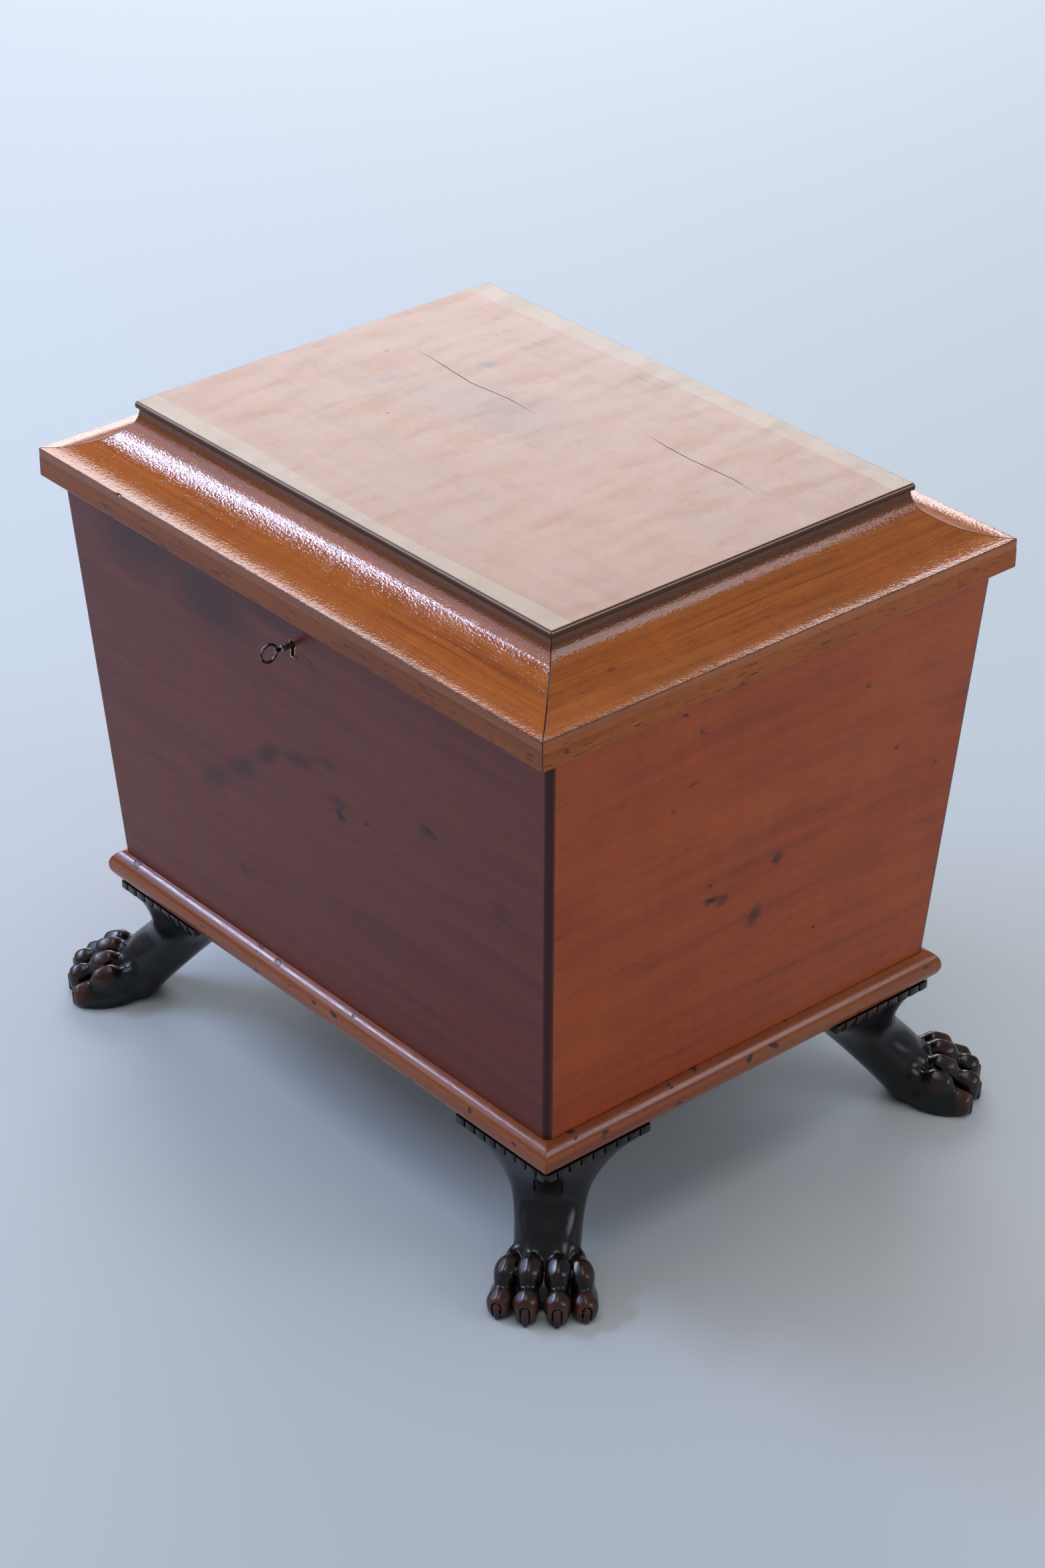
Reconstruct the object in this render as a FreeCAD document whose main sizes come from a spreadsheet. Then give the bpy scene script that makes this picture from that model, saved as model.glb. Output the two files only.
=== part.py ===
"""Sarcophagus cellarette: a tapering chest on carved paw feet, with a coved lid and a box lock.

Millimetres. The origin is on the floor under the middle of the chest, +Z is up and the keyhole
side faces -Y.
"""
import FreeCAD, Part
import math
import os
import Sketcher

doc = FreeCAD.newDocument("cellarette")
sheet = doc.addObject("Spreadsheet::Sheet", "dims")

SIZES = {
    # tapering chest
    "body_top_width": "622",
    "body_top_depth": "468",
    "body_height": "365",
    "taper_side": "26.5",
    "taper_front": "22.5",
    "carcase_wall": "20",
    "corner_radius": "6.5",
    # base with its half-round moulding
    "base_height": "30",
    "base_proud": "11",
    "moulding_back": "12",
    # lid
    "lid_gap": "0.5",
    "overhang_side": "9",
    "overhang_front": "15",
    "rail_width": "78",
    "rail_height": "18",
    "rail_edge_radius": "2",
    "cove_lip": "8",
    "cove_reach": "61",
    "cove_height": "40",
    "cove_tight_radius": "27",
    "cove_back": "14",
    "plate_height": "6",
    "plate_overhang": "2.5",
    "plate_edge_radius": "2.6",
    "panel_core": "12",
    "panel_play": "0.2",
    # carved feet
    "foot_height": "112",
    "capital_size": "112",
    "capital_height": "8",
    "capital_reveal": "5",
    "reed_pitch": "12.6",
    "reed_radius": "1.5",
    "spigot_radius": "15",
    "spigot_length": "20",
    "spigot_play": "0.1",
    "spigot_inset": "62",
    "leg_top_front": "-13",
    "leg_top_back": "-129",
    "leg_top_half": "72",
    "shoulder_height": "84",
    "shoulder_front": "-25",
    "shoulder_back": "-111",
    "shoulder_half": "49",
    "shin_height": "66",
    "shin_front": "-25.5",
    "shin_back": "-93",
    "shin_half": "35.5",
    "instep_height": "48",
    "instep_front": "-5",
    "instep_back": "-76",
    "instep_half": "27.5",
    "ankle_height": "24",
    "ankle_front": "10",
    "ankle_back": "-52",
    "ankle_half": "27",
    "heel_front": "10",
    "heel_back": "-30",
    "heel_half": "25",
    "paw_centre": "10",
    "paw_centre_height": "12",
    "paw_half_length": "30",
    "paw_half_width": "39",
    "paw_half_height": "19",
    "inner_toe_root": "1",
    "inner_toe_side": "10.5",
    "inner_toe_turn": "3",
    "outer_toe_root": "-4",
    "outer_toe_side": "26",
    "outer_toe_turn": "10",
    "inner_toe_height": "36.5",
    "outer_toe_height": "32.5",
    "toe_pitch": "31",
    "toe_reach": "43",
    "knuckle_reach": "16",
    "knuckle_radius": "12.4",
    "toe_neck_radius": "9",
    "toe_pad_radius": "11.2",
    "claw_radius": "3.6",
    "claw_tip_radius": "1.4",
    "claw_length": "17",
    "claw_tip_height": "1.5",
    "claw_sunk": "2.1",
    # zinc lining and bottle divisions
    "liner_drop": "62",
    "liner_sheet": "1.5",
    "liner_play": "0.3",
    "divider_thick": "6",
    "divider_height": "190",
    "divider_play": "0.3",
    # butt hinges
    "hinge_inset": "111",
    "hinge_length": "64",
    "leaf_width": "15",
    "leaf_thick": "2",
    "barrel_radius": "3.5",
    "hinge_pin_radius": "1.7",
    "hinge_pin_play": "0.05",
    "hinge_pin_offset": "2",
    "knuckle_play": "0.2",
    "hinge_recess_play": "0.5",
    "screw_head_radius": "3",
    "screw_head_depth": "1.5",
    "screw_shank_radius": "1.5",
    "screw_length": "14",
    "screw_play": "0.05",
    "hinge_screw_spacing": "22",
    "hinge_screw_inset": "9.5",
    # box lock
    "key_drop": "32",
    "lock_flange": "7",
    "lock_sheet": "2",
    "selvedge_depth": "15",
    "case_side_room": "2.5",
    "case_floor_room": "2.5",
    "case_depth": "11",
    "case_wall": "1.5",
    "lock_play": "0.2",
    "lock_screw_inset": "3.6",
    "lock_screw_head_radius": "2.4",
    "lock_screw_shank_radius": "1.2",
    "lock_screw_length": "10",
    "bolt_throw": "8",
    "bolt_play": "0.3",
    "bolt_right": "22",
    "bolt_bar_above_key": "5.5",
    "bolt_bar_below_staple": "2",
    "hook_thick": "4",
    "hook_post": "4",
    "hook_finger": "11",
    "hook_height": "4.5",
    "ledge_thick": "2",
    "staple_spacing": "36",
    "staple_thick": "2.5",
    "staple_width": "8.4",
    "staple_length": "13",
    "staple_wall": "1.6",
    "staple_play": "0.8",
    "link_flange": "15",
    "link_depth": "14",
    "link_screw_inset": "6",
    # keyhole and key
    "keyhole_radius": "3.4",
    "keyhole_slot": "4",
    "keyhole_drop": "11",
    "escutcheon_wall": "1.4",
    "escutcheon_depth": "3",
    "escutcheon_play": "0.1",
    "key_shank_radius": "2.5",
    "key_waist_radius": "1.6",
    "key_collar_radius": "3.3",
    "key_collar_half": "1.6",
    "key_collar_reach": "10",
    "key_neck_reach": "15.5",
    "key_bow_radius": "7.6",
    "key_wire_radius": "1.2",
    "bit_radius": "10",
    "bit_thick": "2.6",
    "bit_play": "0.5",
    "drill_pin_radius": "1.2",
    "drill_pin_play": "0.1",
}

COLUMNS = 4
ROWS = 3
KNUCKLES = 5
REEDS = 8

for row, (alias, number) in enumerate(SIZES.items(), start=1):
    sheet.set(f"A{row}", alias)
    sheet.set(f"B{row}", number)
    sheet.setAlias(f"B{row}", alias)
doc.recompute()


class Size:
    """A cell of the sheet, or arithmetic on cells: its present value and the text that binds it."""

    def __init__(self, text, value):
        self.text = text
        self.value = float(value)

    def join(self, sign, other, value, swap=False):
        first, second = (other, self) if swap else (self, other)
        return Size(f"({first.text} {sign} {second.text})", value)

    def __add__(self, other):
        other = as_size(other)
        return self.join("+", other, self.value + other.value)

    def __radd__(self, other):
        return as_size(other) + self

    def __sub__(self, other):
        other = as_size(other)
        return self.join("-", other, self.value - other.value)

    def __rsub__(self, other):
        return as_size(other) - self

    def __mul__(self, other):
        other = as_size(other)
        return self.join("*", other, self.value * other.value)

    def __rmul__(self, other):
        return as_size(other) * self

    def __truediv__(self, other):
        other = as_size(other)
        return self.join("/", other, self.value / other.value)

    def __neg__(self):
        return Size(f"(-1 * {self.text})", -self.value)


def as_size(number):
    return number if isinstance(number, Size) else Size(repr(float(number)), number)


def root(size):
    return Size(f"sqrt({size.text})", math.sqrt(size.value))


class Sheet:
    """The sheet's cells as attributes."""

    def __getattr__(self, alias):
        return Size(f"dims.{alias}", sheet.get(alias))


d = Sheet()
ZERO = as_size(0)

# heights
base_top = d.foot_height + d.base_height
body_top = base_top + d.body_height
lid_bottom = body_top + d.lid_gap
rail_top = lid_bottom + d.rail_height
rim_top = rail_top + d.cove_lip
cove_top = rim_top + d.cove_height

# half widths (along X) and half depths (along Y)
top_x = d.body_top_width / 2
top_y = d.body_top_depth / 2
bottom_x = top_x - d.taper_side
bottom_y = top_y - d.taper_front
rim_x = top_x + d.overhang_side
rim_y = top_y + d.overhang_front
base_x = bottom_x + d.base_proud
base_y = bottom_y + d.base_proud
round_radius = d.base_height / 2
moulding_depth = round_radius + d.moulding_back
cove_depth = d.cove_reach + d.cove_back
plate_x = rim_x - d.cove_reach + d.plate_overhang
plate_y = rim_y - d.cove_reach + d.plate_overhang

# hinge axis
hinge_y = top_y + d.hinge_pin_offset
hinge_z = body_top + d.lid_gap / 2
barrel_room = d.barrel_radius + d.hinge_recess_play

# lock planes, counted from the middle towards the front
lock_back = top_y - d.carcase_wall
case_back = lock_back + d.lock_sheet
case_front = case_back + d.case_depth
key_z = body_top - d.key_drop
front_at_key = top_y - d.taper_front * d.key_drop / d.body_height
staple_centre = case_back + (d.case_depth - d.case_wall) / 2
bar_bottom = key_z + d.bolt_bar_above_key
staple_low = lid_bottom - d.staple_length
bar_top = staple_low - d.bolt_bar_below_staple
hook_bottom = staple_low + d.staple_wall + d.staple_play / 2
hook_top = hook_bottom + d.hook_height
bolt_left = d.staple_spacing / 2 + d.staple_thick / 2 + d.staple_play + d.hook_finger + d.hook_post
case_half = bolt_left + d.case_side_room + d.case_wall
lock_half = case_half + d.lock_flange
lock_low = key_z - d.bit_radius - d.case_floor_room - d.case_wall
link_half = d.staple_spacing / 2 + d.link_flange
bow_centre = front_at_key + d.key_neck_reach + d.key_bow_radius


def half_x_at(height):
    """Half the chest's outer width at a height."""
    return bottom_x + d.taper_side * (height - base_top) / d.body_height


def half_y_at(height):
    return bottom_y + d.taper_front * (height - base_top) / d.body_height


def bind(thing, setting, size):
    thing.setExpression(setting, as_size(size).text)


def place(thing, x=ZERO, y=ZERO, z=ZERO):
    for axis, size in (("x", x), ("y", y), ("z", z)):
        bind(thing, f"Placement.Base.{axis}", size)
    return thing


def new_body(label):
    body = doc.addObject("PartDesign::Body", label)
    body.Label = label
    return body


def flat_sketch(body, plane, offset=ZERO):
    """A sketch on one of the body's planes: XY faces up, XZ faces the front, YZ faces right."""
    sketch = body.newObject("Sketcher::SketchObject", f"{body.Name}_outline")
    support = [item for item in body.Origin.OriginFeatures if item.Role == f"{plane}_Plane"]
    sketch.AttachmentSupport = [(support[0], "")]
    sketch.MapMode = "FlatFace"
    sketch.AttachmentOffset = FreeCAD.Placement(
        FreeCAD.Vector(0, 0, as_size(offset).value), FreeCAD.Rotation()
    )
    bind(sketch, ".AttachmentOffset.Base.z", offset)
    return sketch


def hold(sketch, kind, geometry, position, size):
    """Keeps a point at a signed distance from the sketch's origin along X or Y."""
    size = as_size(size)
    if size.text == ZERO.text:
        axis = -2 if kind == "DistanceX" else -1
        sketch.addConstraint(Sketcher.Constraint("PointOnObject", geometry, position, axis))
        return
    index = sketch.addConstraint(
        Sketcher.Constraint(kind, -1, 1, geometry, position, size.value)
    )
    sketch.setExpression(f"Constraints[{index}]", size.text)


def hold_point(sketch, geometry, position, point):
    hold(sketch, "DistanceX", geometry, position, point[0])
    hold(sketch, "DistanceY", geometry, position, point[1])


def vector(point):
    return FreeCAD.Vector(as_size(point[0]).value, as_size(point[1]).value, 0)


def add_edge(sketch, start, end, curve):
    """A straight edge, or an arc (centre, held axis, turn); gives its index and its end numbers."""
    if curve is None:
        return sketch.addGeometry(Part.LineSegment(vector(start), vector(end)), False), 1, 2
    centre, held, turn = curve
    arms = [vector(point) - vector(centre) for point in (start, end)]
    first, last = (math.atan2(arm.y, arm.x) for arm in arms)
    circle = Part.Circle(vector(centre), FreeCAD.Vector(0, 0, 1), arms[0].Length)
    if turn > 0:
        index, begin, finish = sketch.addGeometry(Part.ArcOfCircle(circle, first, last), False), 1, 2
    else:
        index, begin, finish = sketch.addGeometry(Part.ArcOfCircle(circle, last, first), False), 2, 1
    return index, begin, finish


def outline(sketch, corners, curves=None):
    """A closed outline through corners; curves gives the arcs by the number of their first corner."""
    curves = curves or {}
    following = corners[1:] + corners[:1]
    edges = [
        add_edge(sketch, start, end, curves.get(number))
        for number, (start, end) in enumerate(zip(corners, following))
    ]
    for (edge, _, finish), (after, begin, _) in zip(edges, edges[1:] + edges[:1]):
        sketch.addConstraint(Sketcher.Constraint("Coincident", edge, finish, after, begin))
    for (edge, begin, _), corner in zip(edges, corners):
        hold_point(sketch, edge, begin, corner)
    for number, (centre, held, _) in curves.items():
        axis = 0 if held == "DistanceX" else 1
        hold(sketch, held, edges[number][0], 3, centre[axis])
    return sketch


def rectangle(sketch, left, low, right, high):
    return outline(sketch, [(left, low), (right, low), (right, high), (left, high)])


def circle(sketch, x, y, radius):
    index = sketch.addGeometry(Part.Circle(vector((x, y)), FreeCAD.Vector(0, 0, 1), radius.value), False)
    hold_point(sketch, index, 3, (x, y))
    number = sketch.addConstraint(Sketcher.Constraint("Radius", index, radius.value))
    sketch.setExpression(f"Constraints[{number}]", radius.text)


def pad(body, sketch, length, both=False, back=False):
    feature = body.newObject("PartDesign::Pad", f"{body.Name}_pad")
    feature.Profile = sketch
    feature.SideType = "Symmetric" if both else "One side"
    feature.Reversed = back
    bind(feature, "Length", length)
    return feature


def pocket(body, sketch, length, onward=False):
    """Cuts against the sketch's facing, or onward along it."""
    feature = body.newObject("PartDesign::Pocket", f"{body.Name}_pocket")
    feature.Profile = sketch
    feature.Reversed = onward
    bind(feature, "Length", length)
    return feature


def cut_through(body, sketch):
    feature = body.newObject("PartDesign::Pocket", f"{body.Name}_cut")
    feature.Profile = sketch
    feature.Type = "ThroughAll"
    feature.SideType = "Symmetric"
    return feature


def loft(body, sections, subtract=False):
    kind = "PartDesign::SubtractiveLoft" if subtract else "PartDesign::AdditiveLoft"
    feature = body.newObject(kind, f"{body.Name}_loft")
    feature.Profile = sections[0]
    feature.Sections = sections[1:]
    feature.Ruled = True
    return feature


def revolve(body, sketch, axis):
    feature = body.newObject("PartDesign::Revolution", f"{body.Name}_turning")
    feature.Profile = sketch
    feature.ReferenceAxis = (sketch, [axis])
    feature.Angle = 360
    return feature


def round_edges(body, radius, wanted):
    """Rounds the straight edges of the body so far whose two ends satisfy wanted."""
    doc.recompute()
    base = body.Tip
    names = [
        f"Edge{number}"
        for number, edge in enumerate(base.Shape.Edges, start=1)
        if len(edge.Vertexes) == 2 and wanted(*(vertex.Point for vertex in edge.Vertexes))
    ]
    feature = body.newObject("PartDesign::Fillet", f"{body.Name}_rounding")
    feature.Base = (base, names)
    bind(feature, "Radius", radius)
    return feature


def near(first, second):
    return abs(first - second.value) < 0.01


def mirrored(label, source, normal):
    thing = doc.addObject("Part::Mirroring", label)
    thing.Label = label
    thing.Source = source
    thing.Normal = normal
    return thing


ACROSS = FreeCAD.Vector(1, 0, 0)
ALONG = FreeCAD.Vector(0, 1, 0)
UP = FreeCAD.Vector(0, 0, 1)


# Chest panels: boards that lean outwards, front and back over the ends of the sides

def board(label, lean_plane, low, high, wall, end_plane, low_half, high_half):
    """A leaning board: its section on one plane, run along and cut to the taper on the other."""
    body = new_body(label)
    section = flat_sketch(body, lean_plane)
    outline(section, [(low, base_top), (high, body_top), (high - wall, body_top), (low - wall, base_top)])
    pad(body, section, 2 * high_half, both=True)
    for end in (-1, 1):
        waste = flat_sketch(body, end_plane)
        outline(waste, [(end * low_half, base_top), (end * high_half, body_top), (end * high_half, base_top)])
        cut_through(body, waste)
    return body


def long_panel(label, side):
    """The front (side -1) or back (side 1) board, with its two upright outer corners rounded."""
    wall = side * d.carcase_wall
    body = board(label, "YZ", side * bottom_y, side * top_y, wall, "XZ", bottom_x, top_x)

    def outer(point):
        return near(abs(point.y), bottom_y if near(point.z, base_top) else top_y)

    def upright(first, last):
        return outer(first) and outer(last) and abs(first.z - last.z) > d.corner_radius.value

    round_edges(body, d.corner_radius, upright)
    return body


def keyhole_outline(sketch, radius, slot, drop):
    """A round head on the key's axis with a straight slot below it."""
    half = slot / 2
    shoulder = key_z - root(radius * radius - half * half)
    low = key_z - drop
    corners = [(half, shoulder), (-half, shoulder), (-half, low), (half, low)]
    return outline(sketch, corners, {0: ((ZERO, key_z), "DistanceY", 1)})


def front_panel():
    """The board that takes the lock, let in from the inside, and the keyhole."""
    body = long_panel("front_panel", -1)
    start = lock_back - d.taper_front
    low = lock_low - d.lock_play
    half_plate = lock_half + d.lock_play
    half_case = case_half + d.lock_play
    plate_room = flat_sketch(body, "XZ", start)
    rectangle(plate_room, -half_plate, low, half_plate, body_top + d.lock_sheet)
    pocket(body, plate_room, d.taper_front + d.lock_sheet + d.lock_play, onward=True)
    case_room = flat_sketch(body, "XZ", start)
    rectangle(case_room, -half_case, low, half_case, body_top + d.lock_sheet)
    pocket(body, case_room, d.taper_front + case_front - lock_back + d.lock_play, onward=True)
    selvedge_room = flat_sketch(body, "XY", body_top)
    selvedge_front = -lock_back - d.selvedge_depth - d.lock_play
    rectangle(selvedge_room, -half_plate, selvedge_front, half_plate, -start)
    pocket(body, selvedge_room, d.lock_sheet)
    hole = flat_sketch(body, "XZ", case_back)
    room = d.escutcheon_wall / 2
    keyhole_outline(hole, d.keyhole_radius + room, d.keyhole_slot + d.escutcheon_wall, d.keyhole_drop + room)
    pocket(body, hole, top_y, onward=True)
    seat = flat_sketch(body, "XZ", front_at_key - d.escutcheon_depth)
    wall = d.escutcheon_wall + d.escutcheon_play
    keyhole_outline(seat, d.keyhole_radius + wall, d.keyhole_slot + 2 * wall, d.keyhole_drop + wall)
    pocket(body, seat, top_y, onward=True)
    for side in (-1, 1):
        pilot = flat_sketch(body, "XY", body_top)
        circle(pilot, lock_screw_x(side), -lock_screw_y(), d.lock_screw_shank_radius + d.screw_play)
        pocket(body, pilot, d.lock_screw_length)
    return body


def lock_screw_x(side):
    return side * (lock_half - d.lock_screw_inset)


def lock_screw_y():
    return lock_back + d.selvedge_depth / 2


def hinge_xs():
    return [side * (top_x - d.hinge_inset) for side in (-1, 1)]


def screw_xs(centre):
    return [centre + step * d.hinge_screw_spacing for step in (-1, 0, 1)]


def hinge_recess(body, height, downward):
    """Lets both leaves and their barrels into a board, from the height of its meeting face."""
    half = d.hinge_length / 2 + d.knuckle_play
    leaf_inner = hinge_y - d.leaf_width - d.knuckle_play
    for centre in hinge_xs():
        leaf_room = flat_sketch(body, "XY", height)
        rectangle(leaf_room, centre - half, leaf_inner, centre + half, hinge_y)
        pocket(body, leaf_room, d.leaf_thick, onward=not downward)
        barrel_seat = flat_sketch(body, "XY", height)
        rectangle(barrel_seat, centre - half, hinge_y - barrel_room, centre + half, hinge_y + barrel_room)
        pocket(body, barrel_seat, barrel_room, onward=not downward)
        pilots = flat_sketch(body, "XY", height)
        for x in screw_xs(centre):
            circle(pilots, x, hinge_y - d.hinge_screw_inset, d.screw_shank_radius + d.screw_play)
        pocket(body, pilots, d.screw_length, onward=not downward)


def back_panel():
    body = long_panel("back_panel", 1)
    hinge_recess(body, body_top, downward=True)
    return body


def side_panel():
    """The right board, between the front and the back."""
    wall = d.carcase_wall
    return board("right_panel", "XZ", bottom_x, top_x, wall, "YZ", bottom_y - wall, top_y - wall)


# Mitred frames: the base moulding, the lid's rails and its coves

def mitred_bar(label, side, profile, half_x, half_y, depth):
    """One side of a frame: a profile run along the side and mitred at 45 degrees at both ends."""
    body = new_body(label)
    if side == "right":
        sketch = flat_sketch(body, "XZ")
        profile(sketch, half_x, 1)
        pad(body, sketch, 2 * half_y, both=True)
    else:
        sign = -1 if side == "front" else 1
        sketch = flat_sketch(body, "YZ")
        profile(sketch, half_y, sign)
        pad(body, sketch, 2 * half_x, both=True)
    for end in (-1, 1):
        waste = flat_sketch(body, "XY")
        if side == "right":
            corner, inner = (half_x, end * half_y), (half_x - depth, end * (half_y - depth))
            outline(waste, [corner, inner, (half_x - depth, end * half_y)])
        else:
            corner, inner = (end * half_x, sign * half_y), (end * (half_x - depth), sign * (half_y - depth))
            outline(waste, [corner, inner, (end * half_x, sign * (half_y - depth))])
        cut_through(body, waste)
    return body


def moulding_profile(sketch, outer, sign):
    """A half round on a flat back."""
    chord = sign * (outer - round_radius)
    inner = sign * (outer - moulding_depth)
    corners = [(chord, d.foot_height), (chord, base_top), (inner, base_top), (inner, d.foot_height)]
    centre = (chord, d.foot_height + round_radius)
    outline(sketch, corners, {0: (centre, "DistanceX", sign)})


def rail_profile(sketch, outer, sign):
    """A flat rail with its lower outer edge rounded."""
    inner = sign * (outer - d.rail_width)
    face = sign * outer
    edge = sign * (outer - d.rail_edge_radius)
    start = lid_bottom + d.rail_edge_radius
    corners = [(edge, lid_bottom), (face, start), (face, rail_top), (inner, rail_top), (inner, lid_bottom)]
    outline(sketch, corners, {0: ((edge, start), "DistanceX", sign)})


def cove_profile(sketch, outer, sign):
    """A two-centred hollow: a wide arc off the rim, level at its start, then a tight arc to upright."""
    tight = d.cove_tight_radius
    reach = d.cove_reach
    height = d.cove_height
    wide = (reach * reach + height * height - 2 * reach * tight) / (2 * (height - tight))
    share = wide / (wide - tight)
    meet_in = (reach - tight) * share
    meet_up = wide + (height - wide) * share
    start = (sign * outer, rim_top)
    meet = (sign * (outer - meet_in), rim_top + meet_up)
    end = (sign * (outer - reach), cove_top)
    inner = sign * (outer - cove_depth)
    corners = [(sign * outer, rail_top), start, meet, end, (inner, cove_top), (inner, rail_top)]
    curves = {
        1: ((sign * outer, rim_top + wide), "DistanceX", -sign),
        2: ((sign * (outer - reach + tight), cove_top), "DistanceY", -sign),
    }
    outline(sketch, corners, curves)


def front_rail():
    """The rail that takes the lock's link plate."""
    body = mitred_bar("lid_rail_front", "front", rail_profile, rim_x, rim_y, d.rail_width)
    recess = flat_sketch(body, "XY", lid_bottom)
    half_x = link_half + d.lock_play
    half_y = d.link_depth / 2 + d.lock_play
    rectangle(recess, -half_x, -staple_centre - half_y, half_x, -staple_centre + half_y)
    pocket(body, recess, d.lock_sheet, onward=True)
    pilots = flat_sketch(body, "XY", lid_bottom)
    for x in link_screw_xs():
        circle(pilots, x, -staple_centre, d.lock_screw_shank_radius + d.screw_play)
    pocket(body, pilots, d.lock_screw_length, onward=True)
    return body


def link_screw_xs():
    return [side * (link_half - d.link_screw_inset) for side in (-1, 1)]


def back_rail():
    body = mitred_bar("lid_rail_back", "back", rail_profile, rim_x, rim_y, d.rail_width)
    hinge_recess(body, lid_bottom, downward=False)
    return body


def top_panel():
    """The lid's flat top: a thin moulded edge over the coves, on a core that drops between them."""
    body = new_body("lid_top_panel")
    plate = rectangle(flat_sketch(body, "XY", cove_top), -plate_x, -plate_y, plate_x, plate_y)
    pad(body, plate, d.plate_height)
    high = cove_top + d.plate_height
    round_edges(body, d.plate_edge_radius, lambda first, last: near(first.z, high) and near(last.z, high))
    core_x = rim_x - cove_depth - d.panel_play
    core_y = rim_y - cove_depth - d.panel_play
    core = rectangle(flat_sketch(body, "XY", cove_top), -core_x, -core_y, core_x, core_y)
    pad(body, core, d.panel_core, back=True)
    return body


def base_board():
    """The bottom board, inside the moulding, bored for the feet's spigots."""
    body = new_body("base_board")
    half_x = base_x - moulding_depth
    half_y = base_y - moulding_depth
    board = rectangle(flat_sketch(body, "XY", d.foot_height), -half_x, -half_y, half_x, half_y)
    pad(body, board, d.base_height)
    bores = flat_sketch(body, "XY", d.foot_height)
    for x, y in spigot_places():
        circle(bores, x, y, d.spigot_radius + d.spigot_play)
    pocket(body, bores, d.spigot_length + d.spigot_play, onward=True)
    return body


def spigot_places():
    """Where the feet's spigots stand: in from each capital's corner by the same amount both ways."""
    x = bottom_x + d.capital_reveal - d.spigot_inset
    y = bottom_y + d.capital_reveal - d.spigot_inset
    return [(side * x, end * y) for side in (-1, 1) for end in (-1, 1)]


# Carved paw feet. Each is made along its own X axis, which points out through the chest's corner;
# X is 0 at the outer corner of the capital. Fused pieces run into each other by JOIN.

SECTION_POINTS = 16
OVAL = 2.2
SQUARED_OVAL = 1.8
DIAMOND = 1.15
JOIN = 1
DIAGONAL = math.sqrt(2)


def leg_section(height, front, back, half, middle=None, squareness=OVAL):
    """A closed curve round the leg at a height: a superellipse, from near a diamond to near an oval."""
    middle = (front + back) / 2 if middle is None else middle
    points = []
    for step in range(SECTION_POINTS):
        turn = 2 * math.pi * step / SECTION_POINTS
        along = math.copysign(abs(math.cos(turn)) ** (2 / squareness), math.cos(turn))
        aside = math.copysign(abs(math.sin(turn)) ** (2 / squareness), math.sin(turn))
        reach = front - middle if along > 0 else middle - back
        points.append(FreeCAD.Vector(middle + reach * along, half * aside, height))
    curve = Part.BSplineCurve()
    curve.interpolate(Points=points, PeriodicFlag=True)
    return Part.Wire(curve.toShape())


def leg():
    """The leg swells from the heel and instep to a flare that fills the capital's underside."""
    capital_half = d.capital_size.value / DIAGONAL
    sections = [
        leg_section(-JOIN, d.heel_front.value, d.heel_back.value, d.heel_half.value),
        leg_section(d.ankle_height.value, d.ankle_front.value, d.ankle_back.value, d.ankle_half.value),
        leg_section(d.instep_height.value, d.instep_front.value, d.instep_back.value, d.instep_half.value),
        leg_section(d.shin_height.value, d.shin_front.value, d.shin_back.value, d.shin_half.value),
        leg_section(
            d.shoulder_height.value,
            d.shoulder_front.value,
            d.shoulder_back.value,
            d.shoulder_half.value,
            squareness=SQUARED_OVAL,
        ),
        leg_section(
            (d.foot_height - d.capital_height).value + JOIN,
            d.leg_top_front.value,
            d.leg_top_back.value,
            d.leg_top_half.value,
            middle=-capital_half,
            squareness=DIAMOND,
        ),
    ]
    thing = doc.addObject("Part::Feature", "leg")
    thing.Shape = Part.makeLoft(sections, True, False)
    return thing


def capital():
    """The square block under the chest's corner, with reeds cut in its two outer faces."""
    body = new_body("capital")
    corner = d.capital_size / DIAGONAL
    low = d.foot_height - d.capital_height
    plan = [(ZERO, ZERO), (-corner, corner), (-2 * corner, ZERO), (-corner, -corner)]
    pad(body, outline(flat_sketch(body, "XY", low), plan), d.capital_height)
    for side in (-1, 1):
        grooves = flat_sketch(body, "XY", d.foot_height)
        for number in range(REEDS):
            step = (number + 0.5) * d.reed_pitch / DIAGONAL
            circle(grooves, -step, side * step, d.reed_radius)
        pocket(body, grooves, d.capital_height)
    return body


def toe_profile():
    """Half of a toe, turned about its length: a knuckle, a neck and a pad."""
    sketch = doc.addObject("Sketcher::SketchObject", "toe_profile")
    neck = d.toe_neck_radius
    knuckle = root(d.knuckle_radius * d.knuckle_radius - neck * neck)
    ball = root(d.toe_pad_radius * d.toe_pad_radius - neck * neck)
    corners = [
        (d.knuckle_reach - d.knuckle_radius, ZERO),
        (d.knuckle_reach + knuckle, neck),
        (d.toe_reach - ball, neck),
        (d.toe_reach + d.toe_pad_radius, ZERO),
    ]
    curves = {
        0: ((d.knuckle_reach, ZERO), "DistanceY", -1),
        2: ((d.toe_reach, ZERO), "DistanceY", -1),
    }
    return outline(sketch, corners, curves)


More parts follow.
